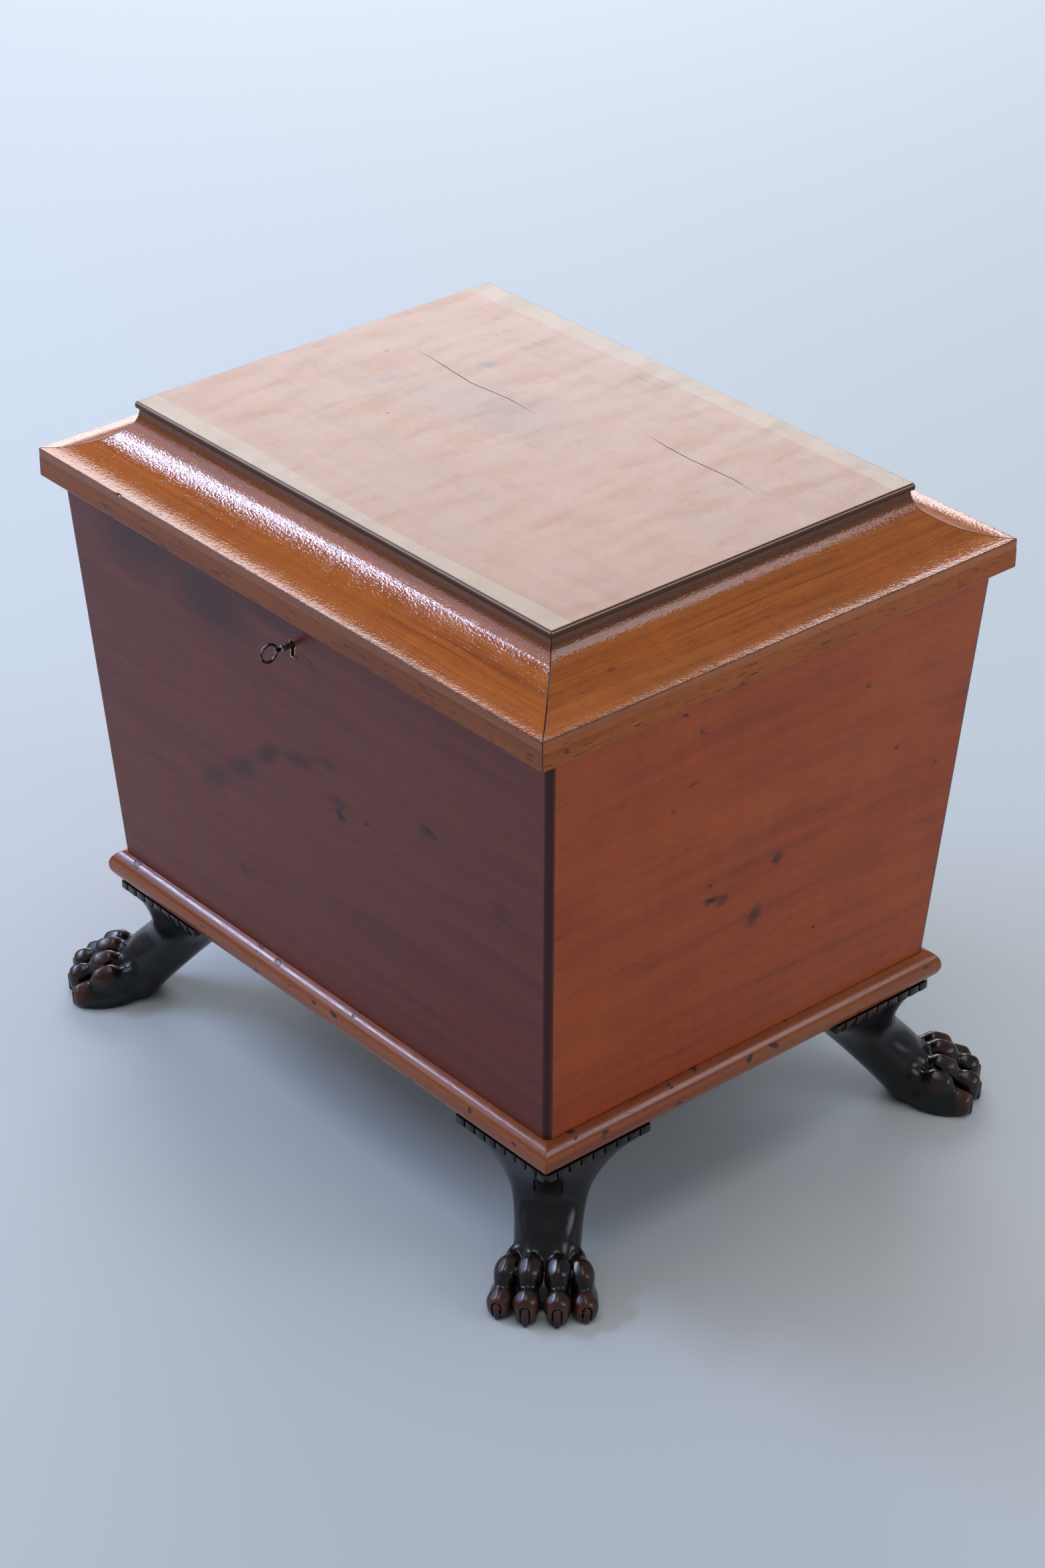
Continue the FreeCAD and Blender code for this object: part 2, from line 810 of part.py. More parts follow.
def toe(profile, root_x, root_y, root_height, turn):
    """One toe, pitched down from its root and turned out, and its claw."""
    thing = doc.addObject("Part::Revolution", "toe")
    thing.Source = profile
    thing.Axis = ACROSS
    thing.Base = FreeCAD.Vector(0, 0, 0)
    thing.Angle = 360
    thing.Solid = True
    aim = FreeCAD.Rotation(turn, d.toe_pitch.value, 0)
    start = FreeCAD.Vector(root_x, root_y, root_height)
    thing.Placement = FreeCAD.Placement(start, aim)
    ball = start + aim.multVec(FreeCAD.Vector(d.toe_reach.value, 0, 0))
    ahead = FreeCAD.Rotation(turn, 0, 0).multVec(ACROSS)
    claw = doc.addObject("Part::Cone", "claw")
    bind(claw, "Radius1", d.claw_tip_radius)
    bind(claw, "Radius2", d.claw_radius)
    bind(claw, "Height", d.claw_length)
    spot = ball + ahead * (d.toe_pad_radius - d.claw_sunk).value
    claw.Placement.Base = FreeCAD.Vector(spot.x, spot.y, d.claw_tip_height.value)
    return [thing, claw]


def foot():
    """A paw foot, carved from one block: capital, leg, paw, toes, claws and the spigot on top."""
    profile = toe_profile()
    pieces = [capital(), leg()]
    paw = doc.addObject("Part::Ellipsoid", "paw")
    bind(paw, "Radius1", d.paw_half_height)
    bind(paw, "Radius2", d.paw_half_length)
    bind(paw, "Radius3", d.paw_half_width)
    place(paw, d.paw_centre, ZERO, d.paw_centre_height)
    pieces.append(paw)
    for side in (-1, 1):
        for root_x, root_y, root_height, turn in (
            (d.inner_toe_root, d.inner_toe_side, d.inner_toe_height, d.inner_toe_turn),
            (d.outer_toe_root, d.outer_toe_side, d.outer_toe_height, d.outer_toe_turn),
        ):
            pieces += toe(profile, root_x.value, side * root_y.value, root_height.value, side * turn.value)
    spigot = doc.addObject("Part::Cylinder", "spigot")
    bind(spigot, "Radius", d.spigot_radius)
    bind(spigot, "Height", d.spigot_length + JOIN)
    place(spigot, -d.spigot_inset * DIAGONAL, ZERO, d.foot_height - JOIN)
    pieces.append(spigot)
    whole = doc.addObject("Part::MultiFuse", "whole_foot")
    whole.Shapes = pieces
    floor = doc.addObject("Part::Box", "floor_waste")
    for setting in ("Length", "Width"):
        bind(floor, setting, 4 * d.capital_size)
    bind(floor, "Height", d.foot_height)
    place(floor, -2 * d.capital_size, -2 * d.capital_size, -d.foot_height)
    thing = doc.addObject("Part::Cut", "foot_front_right")
    thing.Label = "foot_front_right"
    thing.Base = whole
    thing.Tool = floor
    thing.Placement = FreeCAD.Placement(FreeCAD.Vector(), FreeCAD.Rotation(UP, -45))
    place(thing, bottom_x + d.capital_reveal, -(bottom_y + d.capital_reveal))
    return thing


# Lining and bottle divisions

def inner_x(height):
    return half_x_at(height) - d.carcase_wall - d.liner_play - d.liner_sheet


def inner_y(height):
    return half_y_at(height) - d.carcase_wall - d.liner_play - d.liner_sheet


def zinc_liner():
    """A folded and soldered tray, open at the top, that lines the chest below the lock."""
    body = new_body("zinc_liner")
    floor = base_top + d.liner_sheet
    high = body_top - d.liner_drop
    for low, sheet_out in ((base_top, d.liner_sheet), (floor, ZERO)):
        sections = []
        for height in (low, high):
            x = inner_x(height) + sheet_out
            y = inner_y(height) + sheet_out
            sections.append(rectangle(flat_sketch(body, "XY", height), -x, -y, x, y))
        loft(body, sections, subtract=sheet_out is ZERO)
    return body


def cell_edges(half, count):
    """Where the dividers stand between count equal cells."""
    return [half * (2 * number / count - 1) for number in range(1, count)]


def divider(label, plane, offset, inner_half, crossings, slot_high):
    """A board across the lining with half-lap slots, from the top or the bottom, at each crossing."""
    body = new_body(label)
    low = base_top + d.liner_sheet
    high = low + d.divider_height
    middle = low + d.divider_height / 2
    low_half = inner_half(low) - d.divider_play
    high_half = inner_half(high) - d.divider_play
    board = flat_sketch(body, plane, offset)
    outline(board, [(-low_half, low), (low_half, low), (high_half, high), (-high_half, high)])
    pad(body, board, d.divider_thick, both=True)
    slots = flat_sketch(body, plane, offset)
    half_slot = (d.divider_thick + d.divider_play) / 2
    start, end = (middle, high + d.divider_thick) if slot_high else (low - d.divider_thick, middle)
    for crossing in crossings:
        rectangle(slots, crossing - half_slot, start, crossing + half_slot, end)
    cut_through(body, slots)
    return body


def dividers():
    low = base_top + d.liner_sheet
    columns = cell_edges(inner_x(low), COLUMNS)
    rows = cell_edges(inner_y(low), ROWS)
    made = []
    for name, y in zip(("front", "back"), rows):
        made.append(divider(f"long_divider_{name}", "XZ", -y, inner_x, columns, True))
    for name, x in zip(("left", "middle", "right"), columns):
        made.append(divider(f"cross_divider_{name}", "YZ", x, inner_y, rows, False))
    return made


# Brass butt hinges

COUNTERSINK_SLOPE = 45


def countersink(body, sketch, depth, onward):
    """Cuts cones whose wide ends are the sketch's circles."""
    feature = pocket(body, sketch, depth, onward=onward)
    feature.TaperAngle = -COUNTERSINK_SLOPE
    return feature


def screw_group(label, spots, height, head, depth, shank, length, upward):
    """Countersunk screws with their heads flush at a height, as one group."""
    body = new_body(label)
    heads = flat_sketch(body, "XY", height)
    shanks = flat_sketch(body, "XY", height)
    for x, y in spots:
        circle(heads, x, y, head)
        circle(shanks, x, y, shank)
    cone = pad(body, heads, depth, back=not upward)
    cone.TaperAngle = -COUNTERSINK_SLOPE
    pad(body, shanks, length - d.screw_play, back=not upward)
    return body


def hinge_spots():
    return [(x, hinge_y - d.hinge_screw_inset) for centre in hinge_xs() for x in screw_xs(centre)]


def hinge_leaf(label, centre, low, screw_face, upward, first_knuckle):
    """A leaf with every second knuckle, bored for the pin and countersunk for three screws."""
    body = new_body(label)
    half = d.hinge_length / 2
    edge = hinge_y - barrel_room
    plate = flat_sketch(body, "XY", low)
    rectangle(plate, centre - half, hinge_y - d.leaf_width, centre + half, edge)
    pad(body, plate, d.leaf_thick)
    span = d.hinge_length / KNUCKLES
    for number in range(first_knuckle, KNUCKLES, 2):
        start = centre - half + number * span + d.knuckle_play / 2
        length = span - d.knuckle_play
        web = rectangle(flat_sketch(body, "XY", low), start, edge, start + length, hinge_y)
        pad(body, web, d.leaf_thick)
        barrel = flat_sketch(body, "YZ", start)
        circle(barrel, hinge_y, hinge_z, d.barrel_radius)
        pad(body, barrel, length)
    bore = flat_sketch(body, "YZ")
    circle(bore, hinge_y, hinge_z, d.hinge_pin_radius + d.hinge_pin_play)
    cut_through(body, bore)
    heads = flat_sketch(body, "XY", screw_face)
    shanks = flat_sketch(body, "XY", screw_face)
    for x in screw_xs(centre):
        circle(heads, x, hinge_y - d.hinge_screw_inset, d.screw_head_radius + d.screw_play)
        circle(shanks, x, hinge_y - d.hinge_screw_inset, d.screw_shank_radius + d.screw_play)
    countersink(body, heads, d.screw_head_depth, upward)
    pocket(body, shanks, d.leaf_thick, onward=upward)
    return body


def hinge_pin(label, centre):
    body = new_body(label)
    sketch = flat_sketch(body, "YZ", centre - d.hinge_length / 2)
    circle(sketch, hinge_y, hinge_z, d.hinge_pin_radius)
    pad(body, sketch, d.hinge_length)
    return body


def hinges():
    made = []
    for name, centre in zip(("left", "right"), hinge_xs()):
        carcase_low = body_top - d.leaf_thick
        made.append(hinge_leaf(f"hinge_leaf_carcase_{name}", centre, carcase_low, body_top, False, 0))
        made.append(hinge_leaf(f"hinge_leaf_lid_{name}", centre, lid_bottom, lid_bottom, True, 1))
        made.append(hinge_pin(f"hinge_pin_{name}", centre))
    sizes = (d.screw_head_radius, d.screw_head_depth, d.screw_shank_radius, d.screw_length)
    made.append(screw_group("hinge_screws_carcase", hinge_spots(), body_top, *sizes, upward=False))
    made.append(screw_group("hinge_screws_lid", hinge_spots(), lid_bottom, *sizes, upward=True))
    return made


# Box lock, with its link plate in the lid

def staple_xs():
    return [side * d.staple_spacing / 2 for side in (-1, 1)]


def lock_screw_spots():
    return [(lock_screw_x(side), -lock_screw_y()) for side in (-1, 1)]


def lock_plate():
    """The back plate and the selvedge, bent from one sheet, with mouths for the two staples."""
    body = new_body("lock_plate")
    back = rectangle(flat_sketch(body, "XZ", lock_back), -lock_half, lock_low, lock_half, body_top)
    pad(body, back, d.lock_sheet)
    front = -lock_back - d.selvedge_depth
    selvedge = rectangle(flat_sketch(body, "XY", body_top), -lock_half, front, lock_half, -lock_back)
    pad(body, selvedge, d.lock_sheet, back=True)
    mouths = flat_sketch(body, "XY", body_top)
    half_x = d.staple_thick / 2 + d.staple_play
    half_y = d.staple_width / 2 + d.staple_play
    for x in staple_xs():
        rectangle(mouths, x - half_x, -staple_centre - half_y, x + half_x, -staple_centre + half_y)
    pocket(body, mouths, d.lock_sheet)
    heads = flat_sketch(body, "XY", body_top)
    shanks = flat_sketch(body, "XY", body_top)
    for x, y in lock_screw_spots():
        circle(heads, x, y, d.lock_screw_head_radius + d.screw_play)
        circle(shanks, x, y, d.lock_screw_shank_radius + d.screw_play)
    countersink(body, heads, d.lock_screw_head_radius - d.lock_screw_shank_radius, False)
    pocket(body, shanks, d.lock_sheet)
    return body


def lock_case():
    """A tray on the front of the back plate, with the keyhole and two ledges that carry the bolt."""
    body = new_body("lock_case")
    high = body_top - d.lock_sheet
    block = rectangle(flat_sketch(body, "XZ", case_back), -case_half, lock_low, case_half, high)
    pad(body, block, d.case_depth)
    inside = case_half - d.case_wall
    hollow = flat_sketch(body, "XZ", case_back)
    rectangle(hollow, -inside, lock_low + d.case_wall, inside, high)
    pocket(body, hollow, d.case_depth - d.case_wall, onward=True)
    ledge_high = bar_bottom - d.bolt_play
    ledge_low = ledge_high - d.ledge_thick
    ledge_end = d.bit_radius + d.case_floor_room
    for side in (-1, 1):
        ledge = flat_sketch(body, "XZ", case_back + d.bolt_play)
        corners = [(side * ledge_end, ledge_low), (side * inside, ledge_low)]
        corners += [(side * inside, ledge_high), (side * ledge_end, ledge_high)]
        pad(body, outline(ledge, corners), d.case_depth - d.case_wall - d.bolt_play)
    hole = flat_sketch(body, "XZ", case_front)
    keyhole_outline(hole, d.keyhole_radius, d.keyhole_slot, d.keyhole_drop)
    pocket(body, hole, d.case_wall)
    return body


def drill_pin():
    """The pin that the key's hollow barrel turns on."""
    body = new_body("drill_pin")
    sketch = flat_sketch(body, "XZ", case_back)
    circle(sketch, ZERO, key_z, d.drill_pin_radius)
    pad(body, sketch, d.case_depth - d.case_wall)
    return body


def lock_bolt():
    """A bar over the key, notched where the key's bit pushes it, with two hooks for the staples."""
    body = new_body("lock_bolt")
    start = case_back + d.bolt_play
    bar = rectangle(flat_sketch(body, "XZ", start), -bolt_left, bar_bottom, d.bolt_right, bar_top)
    pad(body, bar, d.case_depth - d.case_wall - 2 * d.bolt_play)
    post_low = (bar_bottom + bar_top) / 2
    for x in staple_xs():
        tip = x - d.staple_thick / 2 - d.staple_play
        neck = tip - d.hook_finger
        back = neck - d.hook_post
        hook = flat_sketch(body, "XZ", staple_centre - d.hook_thick / 2)
        corners = [(back, post_low), (neck, post_low), (neck, hook_bottom)]
        corners += [(tip, hook_bottom), (tip, hook_top), (back, hook_top)]
        pad(body, outline(hook, corners), d.hook_thick)
    above = d.bolt_bar_above_key
    half_notch = root(d.bit_radius * d.bit_radius - above * above) + d.bit_thick / 2
    middle = -d.bolt_throw / 2
    notch = flat_sketch(body, "XZ", start)
    notch_high = key_z + d.bit_radius + d.bit_play
    rectangle(notch, middle - half_notch, key_z, middle + half_notch, notch_high)
    pocket(body, notch, d.case_depth, onward=True)
    return body


def link_plate():
    """The plate in the lid whose two staples drop into the lock."""
    body = new_body("link_plate")
    low, high = -staple_centre - d.link_depth / 2, -staple_centre + d.link_depth / 2
    pad(body, rectangle(flat_sketch(body, "XY", lid_bottom), -link_half, low, link_half, high), d.lock_sheet)
    staples = flat_sketch(body, "XY", lid_bottom)
    half_x = d.staple_thick / 2
    half_y = d.staple_width / 2
    for x in staple_xs():
        rectangle(staples, x - half_x, -staple_centre - half_y, x + half_x, -staple_centre + half_y)
    pad(body, staples, d.staple_length, back=True)
    eye = flat_sketch(body, "YZ")
    half_eye = half_y - d.staple_wall
    eye_low = staple_low + d.staple_wall
    eye_high = hook_top + d.staple_play / 2
    rectangle(eye, -staple_centre - half_eye, eye_low, -staple_centre + half_eye, eye_high)
    cut_through(body, eye)
    heads = flat_sketch(body, "XY", lid_bottom)
    shanks = flat_sketch(body, "XY", lid_bottom)
    for x in link_screw_xs():
        circle(heads, x, -staple_centre, d.lock_screw_head_radius + d.screw_play)
        circle(shanks, x, -staple_centre, d.lock_screw_shank_radius + d.screw_play)
    countersink(body, heads, d.lock_screw_head_radius - d.lock_screw_shank_radius, True)
    pocket(body, shanks, d.lock_sheet, onward=True)
    return body


def lock_screws():
    head, shank = d.lock_screw_head_radius, d.lock_screw_shank_radius
    sizes = (head, head - shank, shank, d.lock_screw_length)
    link_spots = [(x, -staple_centre) for x in link_screw_xs()]
    return [
        screw_group("lock_screws", lock_screw_spots(), body_top, *sizes, upward=False),
        screw_group("link_plate_screws", link_spots, lid_bottom, *sizes, upward=True),
    ]


def escutcheon():
    """A brass keyhole lining let in flush with the front."""
    body = new_body("keyhole_escutcheon")
    ring = flat_sketch(body, "XZ", front_at_key - d.escutcheon_depth)
    wall = d.escutcheon_wall
    keyhole_outline(ring, d.keyhole_radius + wall, d.keyhole_slot + 2 * wall, d.keyhole_drop + wall)
    keyhole_outline(ring, d.keyhole_radius, d.keyhole_slot, d.keyhole_drop)
    pad(body, ring, d.escutcheon_depth)
    return body


def key():
    """A pipe key with a ring bow, a collar and one plain bit, turned down at rest."""
    body = new_body("key")
    tip = -case_back - d.bit_play
    collar = -front_at_key - d.key_collar_reach
    collar_in, collar_out = collar + d.key_collar_half, collar - d.key_collar_half
    # the waist runs into the ring, past the middle of its wire
    neck = -bow_centre + d.key_bow_radius - d.key_wire_radius / 2
    shank = flat_sketch(body, "XY", key_z)
    corners = [
        (ZERO, tip),
        (ZERO, neck),
        (d.key_waist_radius, neck),
        (d.key_waist_radius, collar_out),
        (d.key_collar_radius, collar_out),
        (d.key_collar_radius, collar_in),
        (d.key_shank_radius, collar_in),
        (d.key_shank_radius, tip),
    ]
    revolve(body, outline(shank, corners), "V_Axis")
    bit = flat_sketch(body, "XZ", case_back + d.bit_play)
    half = d.bit_thick / 2
    rectangle(bit, -half, key_z - d.bit_radius, half, key_z - d.key_shank_radius / 2)
    pad(body, bit, d.case_depth - d.case_wall - 2 * d.bit_play)
    bow = flat_sketch(body, "XY", key_z)
    bind(bow, ".AttachmentOffset.Base.y", -bow_centre)
    circle(bow, ZERO, -d.key_bow_radius, d.key_wire_radius)
    revolve(body, bow, "H_Axis")
    barrel = flat_sketch(body, "XZ", case_back + d.bit_play)
    circle(barrel, ZERO, key_z, d.drill_pin_radius + d.drill_pin_play)
    pocket(body, barrel, d.case_depth - d.case_wall, onward=True)
    return body


def build():
    right_panel = side_panel()
    base = (moulding_profile, base_x, base_y, moulding_depth)
    moulding_front = mitred_bar("base_moulding_front", "front", *base)
    moulding_right = mitred_bar("base_moulding_right", "right", *base)
    rail_right = mitred_bar("lid_rail_right", "right", rail_profile, rim_x, rim_y, d.rail_width)
    cove_front = mitred_bar("cove_front", "front", cove_profile, rim_x, rim_y, cove_depth)
    cove_right = mitred_bar("cove_right", "right", cove_profile, rim_x, rim_y, cove_depth)
    foot_front_right = foot()
    foot_back_right = mirrored("foot_back_right", foot_front_right, ALONG)
    return [
        front_panel(),
        back_panel(),
        right_panel,
        mirrored("left_panel", right_panel, ACROSS),
        base_board(),
        moulding_front,
        mirrored("base_moulding_back", moulding_front, ALONG),
        moulding_right,
        mirrored("base_moulding_left", moulding_right, ACROSS),
        foot_front_right,
        foot_back_right,
        mirrored("foot_front_left", foot_front_right, ACROSS),
        mirrored("foot_back_left", foot_back_right, ACROSS),
        front_rail(),
        back_rail(),
        rail_right,
        mirrored("lid_rail_left", rail_right, ACROSS),
        cove_front,
        mirrored("cove_back", cove_front, ALONG),
        cove_right,
        mirrored("cove_left", cove_right, ACROSS),
        top_panel(),
        zinc_liner(),
        *dividers(),
        *hinges(),
        lock_plate(),
        lock_case(),
        drill_pin(),
        lock_bolt(),
        link_plate(),
        *lock_screws(),
        escutcheon(),
        key(),
    ]


def check(pieces):
    """Stops before anything is written if a feature failed or a piece has no sound solid."""
    failed = [thing.Name for thing in doc.Objects if {"Invalid", "Error"} & set(thing.State)]
    unsound = [
        piece.Label
        for piece in pieces
        if piece.Shape.isNull() or not piece.Shape.isValid() or not piece.Shape.Solids
    ]
    if failed or unsound:
        raise RuntimeError(f"failed features: {failed}; unsound pieces: {unsound}")


parts = build()
doc.recompute()
check(parts)
os.makedirs("parts", exist_ok=True)
for part in parts:
    part.Shape.exportStep(f"parts/{part.Label}.step")
    print(f"{part.Label}: {len(part.Shape.Solids)} solid(s), {part.Shape.Volume / 1000:.2f} cm3")
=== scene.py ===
import math

import bmesh
import bpy
import numpy as np
import openvdb
from mathutils import Euler, Matrix, Vector


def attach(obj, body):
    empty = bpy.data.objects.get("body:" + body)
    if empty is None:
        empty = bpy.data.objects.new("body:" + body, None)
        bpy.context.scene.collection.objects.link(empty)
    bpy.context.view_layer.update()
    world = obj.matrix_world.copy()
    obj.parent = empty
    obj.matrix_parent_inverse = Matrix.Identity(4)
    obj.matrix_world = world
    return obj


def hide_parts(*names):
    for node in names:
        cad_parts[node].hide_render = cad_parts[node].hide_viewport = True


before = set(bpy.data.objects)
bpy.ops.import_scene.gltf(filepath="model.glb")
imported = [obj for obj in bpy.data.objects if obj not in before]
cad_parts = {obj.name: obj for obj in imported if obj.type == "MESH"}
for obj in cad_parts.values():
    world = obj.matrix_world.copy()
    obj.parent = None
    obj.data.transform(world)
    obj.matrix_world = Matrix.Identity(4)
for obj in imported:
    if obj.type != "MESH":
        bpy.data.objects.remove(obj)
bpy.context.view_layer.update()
scene = bpy.context.scene
mm = 0.001
print("frame loaded:", len(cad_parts), "nodes")


# camera at the photograph's viewpoint, solved from the chest's own edges
cameraView = {
    "place": (2.0919, -1.7882, 1.9014),
    "azimuth": 49.37,
    "elevation": 30.85,
    "roll": 0.13,
    "focalPx": 5662.7,
    "imageHeightPx": 2352,
    "sensorMm": 36.0,
    "clipEnd": 50,
}


def placeCamera(view):
    data = bpy.data.cameras.new("camera")
    data.sensor_fit = "VERTICAL"
    data.sensor_height = view["sensorMm"]
    data.lens = view["focalPx"] / view["imageHeightPx"] * view["sensorMm"]
    data.clip_end = view["clipEnd"]
    camera = bpy.data.objects.new("camera", data)
    turn = Euler((math.radians(90 - view["elevation"]), 0, math.radians(view["azimuth"])))
    spin = Matrix.Rotation(math.radians(view["roll"]), 4, "Z")
    camera.matrix_world = Matrix.Translation(view["place"]) @ turn.to_matrix().to_4x4() @ spin
    scene.collection.objects.link(camera)
    scene.camera = camera


placeCamera(cameraView)
print("camera placed")


# colour and nodes

def hexColor(code):
    # sRGB hex to the linear colour that sockets take
    parts = [int(code[i:i + 2], 16) / 255 for i in (0, 2, 4)]
    return [p / 12.92 if p <= 0.04045 else ((p + 0.055) / 1.055) ** 2.4 for p in parts] + [1.0]


# the nodes used below: Blender's name and the settings that they always have
nodeKinds = {
    "coordinates": ("ShaderNodeTexCoord", {}),
    "mapping": ("ShaderNodeMapping", {"vector_type": "TEXTURE"}),
    "attribute": ("ShaderNodeAttribute", {}),
    "split": ("ShaderNodeSeparateXYZ", {}),
    "join": ("ShaderNodeCombineXYZ", {}),
    "noise": ("ShaderNodeTexNoise", {}),
    "cells": ("ShaderNodeTexVoronoi", {}),
    "ramp": ("ShaderNodeValToRGB", {}),
    "bump": ("ShaderNodeBump", {}),
    "mix": ("ShaderNodeMix", {"data_type": "RGBA"}),
    "fade": ("ShaderNodeMapRange", {"interpolation_type": "SMOOTHSTEP"}),
    "add": ("ShaderNodeMath", {"operation": "ADD"}),
    "subtract": ("ShaderNodeMath", {"operation": "SUBTRACT"}),
    "multiply": ("ShaderNodeMath", {"operation": "MULTIPLY"}),
    "multiplyAdd": ("ShaderNodeMath", {"operation": "MULTIPLY_ADD"}),
    "maximum": ("ShaderNodeMath", {"operation": "MAXIMUM"}),
    "absolute": ("ShaderNodeMath", {"operation": "ABSOLUTE"}),
    "vectorSubtract": ("ShaderNodeVectorMath", {"operation": "SUBTRACT"}),
    "vectorMultiply": ("ShaderNodeVectorMath", {"operation": "MULTIPLY"}),
    "vectorMultiplyAdd": ("ShaderNodeVectorMath", {"operation": "MULTIPLY_ADD"}),
    "vectorScale": ("ShaderNodeVectorMath", {"operation": "SCALE"}),
    "vectorLength": ("ShaderNodeVectorMath", {"operation": "LENGTH"}),
}


def addNode(tree, kind, inputs=(), stops=(), **settings):
    # a node with its settings, its ramp stops and its inputs, by socket name or in order;
    # an input is a node, one of its outputs or a fixed value
    blenderName, always = nodeKinds[kind]
    node = tree.nodes.new(blenderName)
    for name, value in {**always, **settings}.items():
        setattr(node, name, value)
    if stops:
        ramp = node.color_ramp.elements
        while len(ramp) < len(stops):
            ramp.new(1.0)
        for element, (at, color) in zip(ramp, stops):
            element.position = at
            element.color = color
    sockets = [s for s in node.inputs if s.enabled]
    if isinstance(inputs, dict):
        sockets = [next(s for s in sockets if s.name == name) for name in inputs]
        inputs = inputs.values()
    for socket, value in zip(sockets, inputs):
        if isinstance(value, bpy.types.Node):
            value = [s for s in value.outputs if s.enabled][0]
        if isinstance(value, bpy.types.NodeSocket):
            tree.links.new(value, socket)
        else:
            socket.default_value = value
    return node


def newMaterial(name):
    material = bpy.data.materials.new(name)
    material.use_nodes = True
    tree = material.node_tree
    return material, tree, tree.nodes["Principled BSDF"]


def finishShader(tree, shader, color, roughness, heightMm, fixed):
    # colour, roughness and relief go in by links, what is the same all over by the socket itself
    bump = addNode(tree, "bump", {"Height": heightMm, "Distance": mm})
    tree.links.new(color.outputs["Result"], shader.inputs["Base Color"])
    tree.links.new(roughness.outputs[0], shader.inputs["Roughness"])
    tree.links.new(bump.outputs["Normal"], shader.inputs["Normal"])
    for name, value in fixed.items():
        shader.inputs[name].default_value = value


def placeInMm(tree, axes="XYZ"):
    # the piece's own coordinates in millimetres, in the order along, across and through the grain
    place = addNode(tree, "coordinates").outputs["Object"]
    parts = addNode(tree, "split", [addNode(tree, "vectorScale", (place, 1 / mm))])
    return addNode(tree, "join", [parts.outputs[axis] for axis in axes])


def grainLines(tree, where, sizeMm, detail=3.0, shift=0.0):
    # cloudy lines of a given length and width, from 0 to 1; the shift sets apart lines of one piece
    longMm, wideMm = sizeMm
    stretch = (1 / longMm, 1 / wideMm, 1 / wideMm)
    spot = addNode(tree, "vectorMultiplyAdd", (where, stretch, (shift, shift, shift)))
    return addNode(tree, "noise", {"Vector": spot, "Scale": 1.0, "Detail": detail, "Roughness": 0.55})


def softSpot(tree, where, spot):
    # a smudge with a soft edge: place, half sizes and turn on the board, and how dark
    along, across, halfLong, halfWide, turn, strength = spot
    throughBoard = 1e5
    local = addNode(tree, "mapping", {
        "Vector": where,
        "Location": (along, across, 0),
        "Rotation": (0, 0, math.radians(turn)),
        "Scale": (halfLong, halfWide, throughBoard),
    })
    reach = addNode(tree, "vectorLength", [local])
    rim, core = 1.0, 0.15
    return addNode(tree, "fade", (reach, rim, core, 0.0, strength))


# mahogany boards: what each shows of its figure, with places and sizes in millimetres
baseLook = {
    "deep": "5e2617",
    "mid": "7a3a22",
    "light": "8a4526",
    "warm": "7f3f22",
    "mark": "24100f",
    "worn": "9a5c36",
    # one dark tone for dirt in the pores and knocks and for painted shade under overhangs
    "grimeAndShade": "220f0d",
    "cornerTone": "32161a",
    "cornerDark": 0.8,
    # lines of the figure, as length and width; real fibres and pores are about 0.2 mm wide and are
    # drawn coarser, so that they show
    "warpLines": (330, 120),
    "streakMm": (420, 13),
    "fibreMm": (60, 1.3),
    "ribbonMm": (17, 75),
    "cloudMm": (190, 120),
    "poreMm": (9, 0.9),
    "ragMm": (26, 7),
    "swellMm": (90, 38),
    "speckleMm": (3.0, 1.8),
    # how far the warp bends the lines across the grain, and what share of it along the grain
    "warpMm": 26,
    "warpAlong": 0.12,
    "ragReach": 16,
    # where the deep, mid and light tones lie, and how much the fibre adds to the streaks
    "contrast": (0.3, 0.64, 1.0),
    "fibre": 0.3,
    "warmRange": (0.4, 0.68, 0.0, 0.6),
    "ribbon": 0.05,
    "ribbonRange": (0.3, 0.7),
    "poreRange": (0.6, 0.72),
    "poreDark": 0.35,
    # knocks: spacing, darkness, spread, radius, soft edge, share of places left whole, and the stretch
    # of their places, which makes them longer along the grain
    "dingMm": 46,
    "dingDark": 0.75,
    "dingSpread": "3D",
    "dingSize": 2.6,
    "dingEdge": 0.7,
    "dingSpare": 0.45,
    "dingStretch": (0.5, 1, 1),
    "roughness": (0.28, 0.4),
    "hazeOfDirt": 0.4,
    "hazeRange": (0.3, 0.9),
    "ior": 1.41,
    "edgeRubAndShade": (0.35, 0.7),
    # relief of fibre, pores, knocks, hand-planed swell and speckle
    "fibreRise": 0.02,
    "poreRise": -0.03,
    "dingRise": -0.25,
    "swellRise": 0.22,
    "speckle": 0.0,
    # marks of one board alone, and how softly they begin and end
    "spots": [],  # place along and across the grain, half sizes, turn in degrees and darkness
    "bands": None,  # pale edges: distances from the middle, colour and share
    "lip": None,  # a height, and the look of the wood below it
    "lipSoft": 0.3,
    "under": None,  # painted shade close under an overhang: heights where it begins and is whole, its darkness, and where it stops
    "underSoft": 0.2,
    "line": None,  # heights of a painted shade line along a rounded edge
    "lineSoft": (0.2, 0.1),
}

frontLook = dict(
    baseLook, axes="XZY", deep="561c14", mid="6c2b22", light="7c3626", warm="703022", mark="1e080c", ior=1.35,
    spots=[
        (-205, 482, 95, 40, 4, 0.66), (-112, 470, 85, 46, -6, 0.66), (-40, 495, 90, 22, 0, 0.45),
        (-128, 292, 34, 17, 32, 0.5), (-88, 320, 36, 14, 35, 0.55), (-50, 350, 34, 13, 33, 0.65),
        (-6, 366, 34, 10, 14, 0.6), (34, 378, 30, 8, 8, 0.5), (45, 335, 7, 11, 12, 1.0),
        (44, 347, 17, 6, 0, 0.5), (79, 344, 5, 2.2, 10, 0.9), (160, 373, 17, 7, -6, 0.85),
        # the last spot, below and right of the keyhole, is a painted shadow of the key
        (244, 342, 20, 13, 0, 0.35), (-101, 212, 10, 6, -20, 0.4), (22, 466, 17, 4, -40, 0.6),
    ],
)
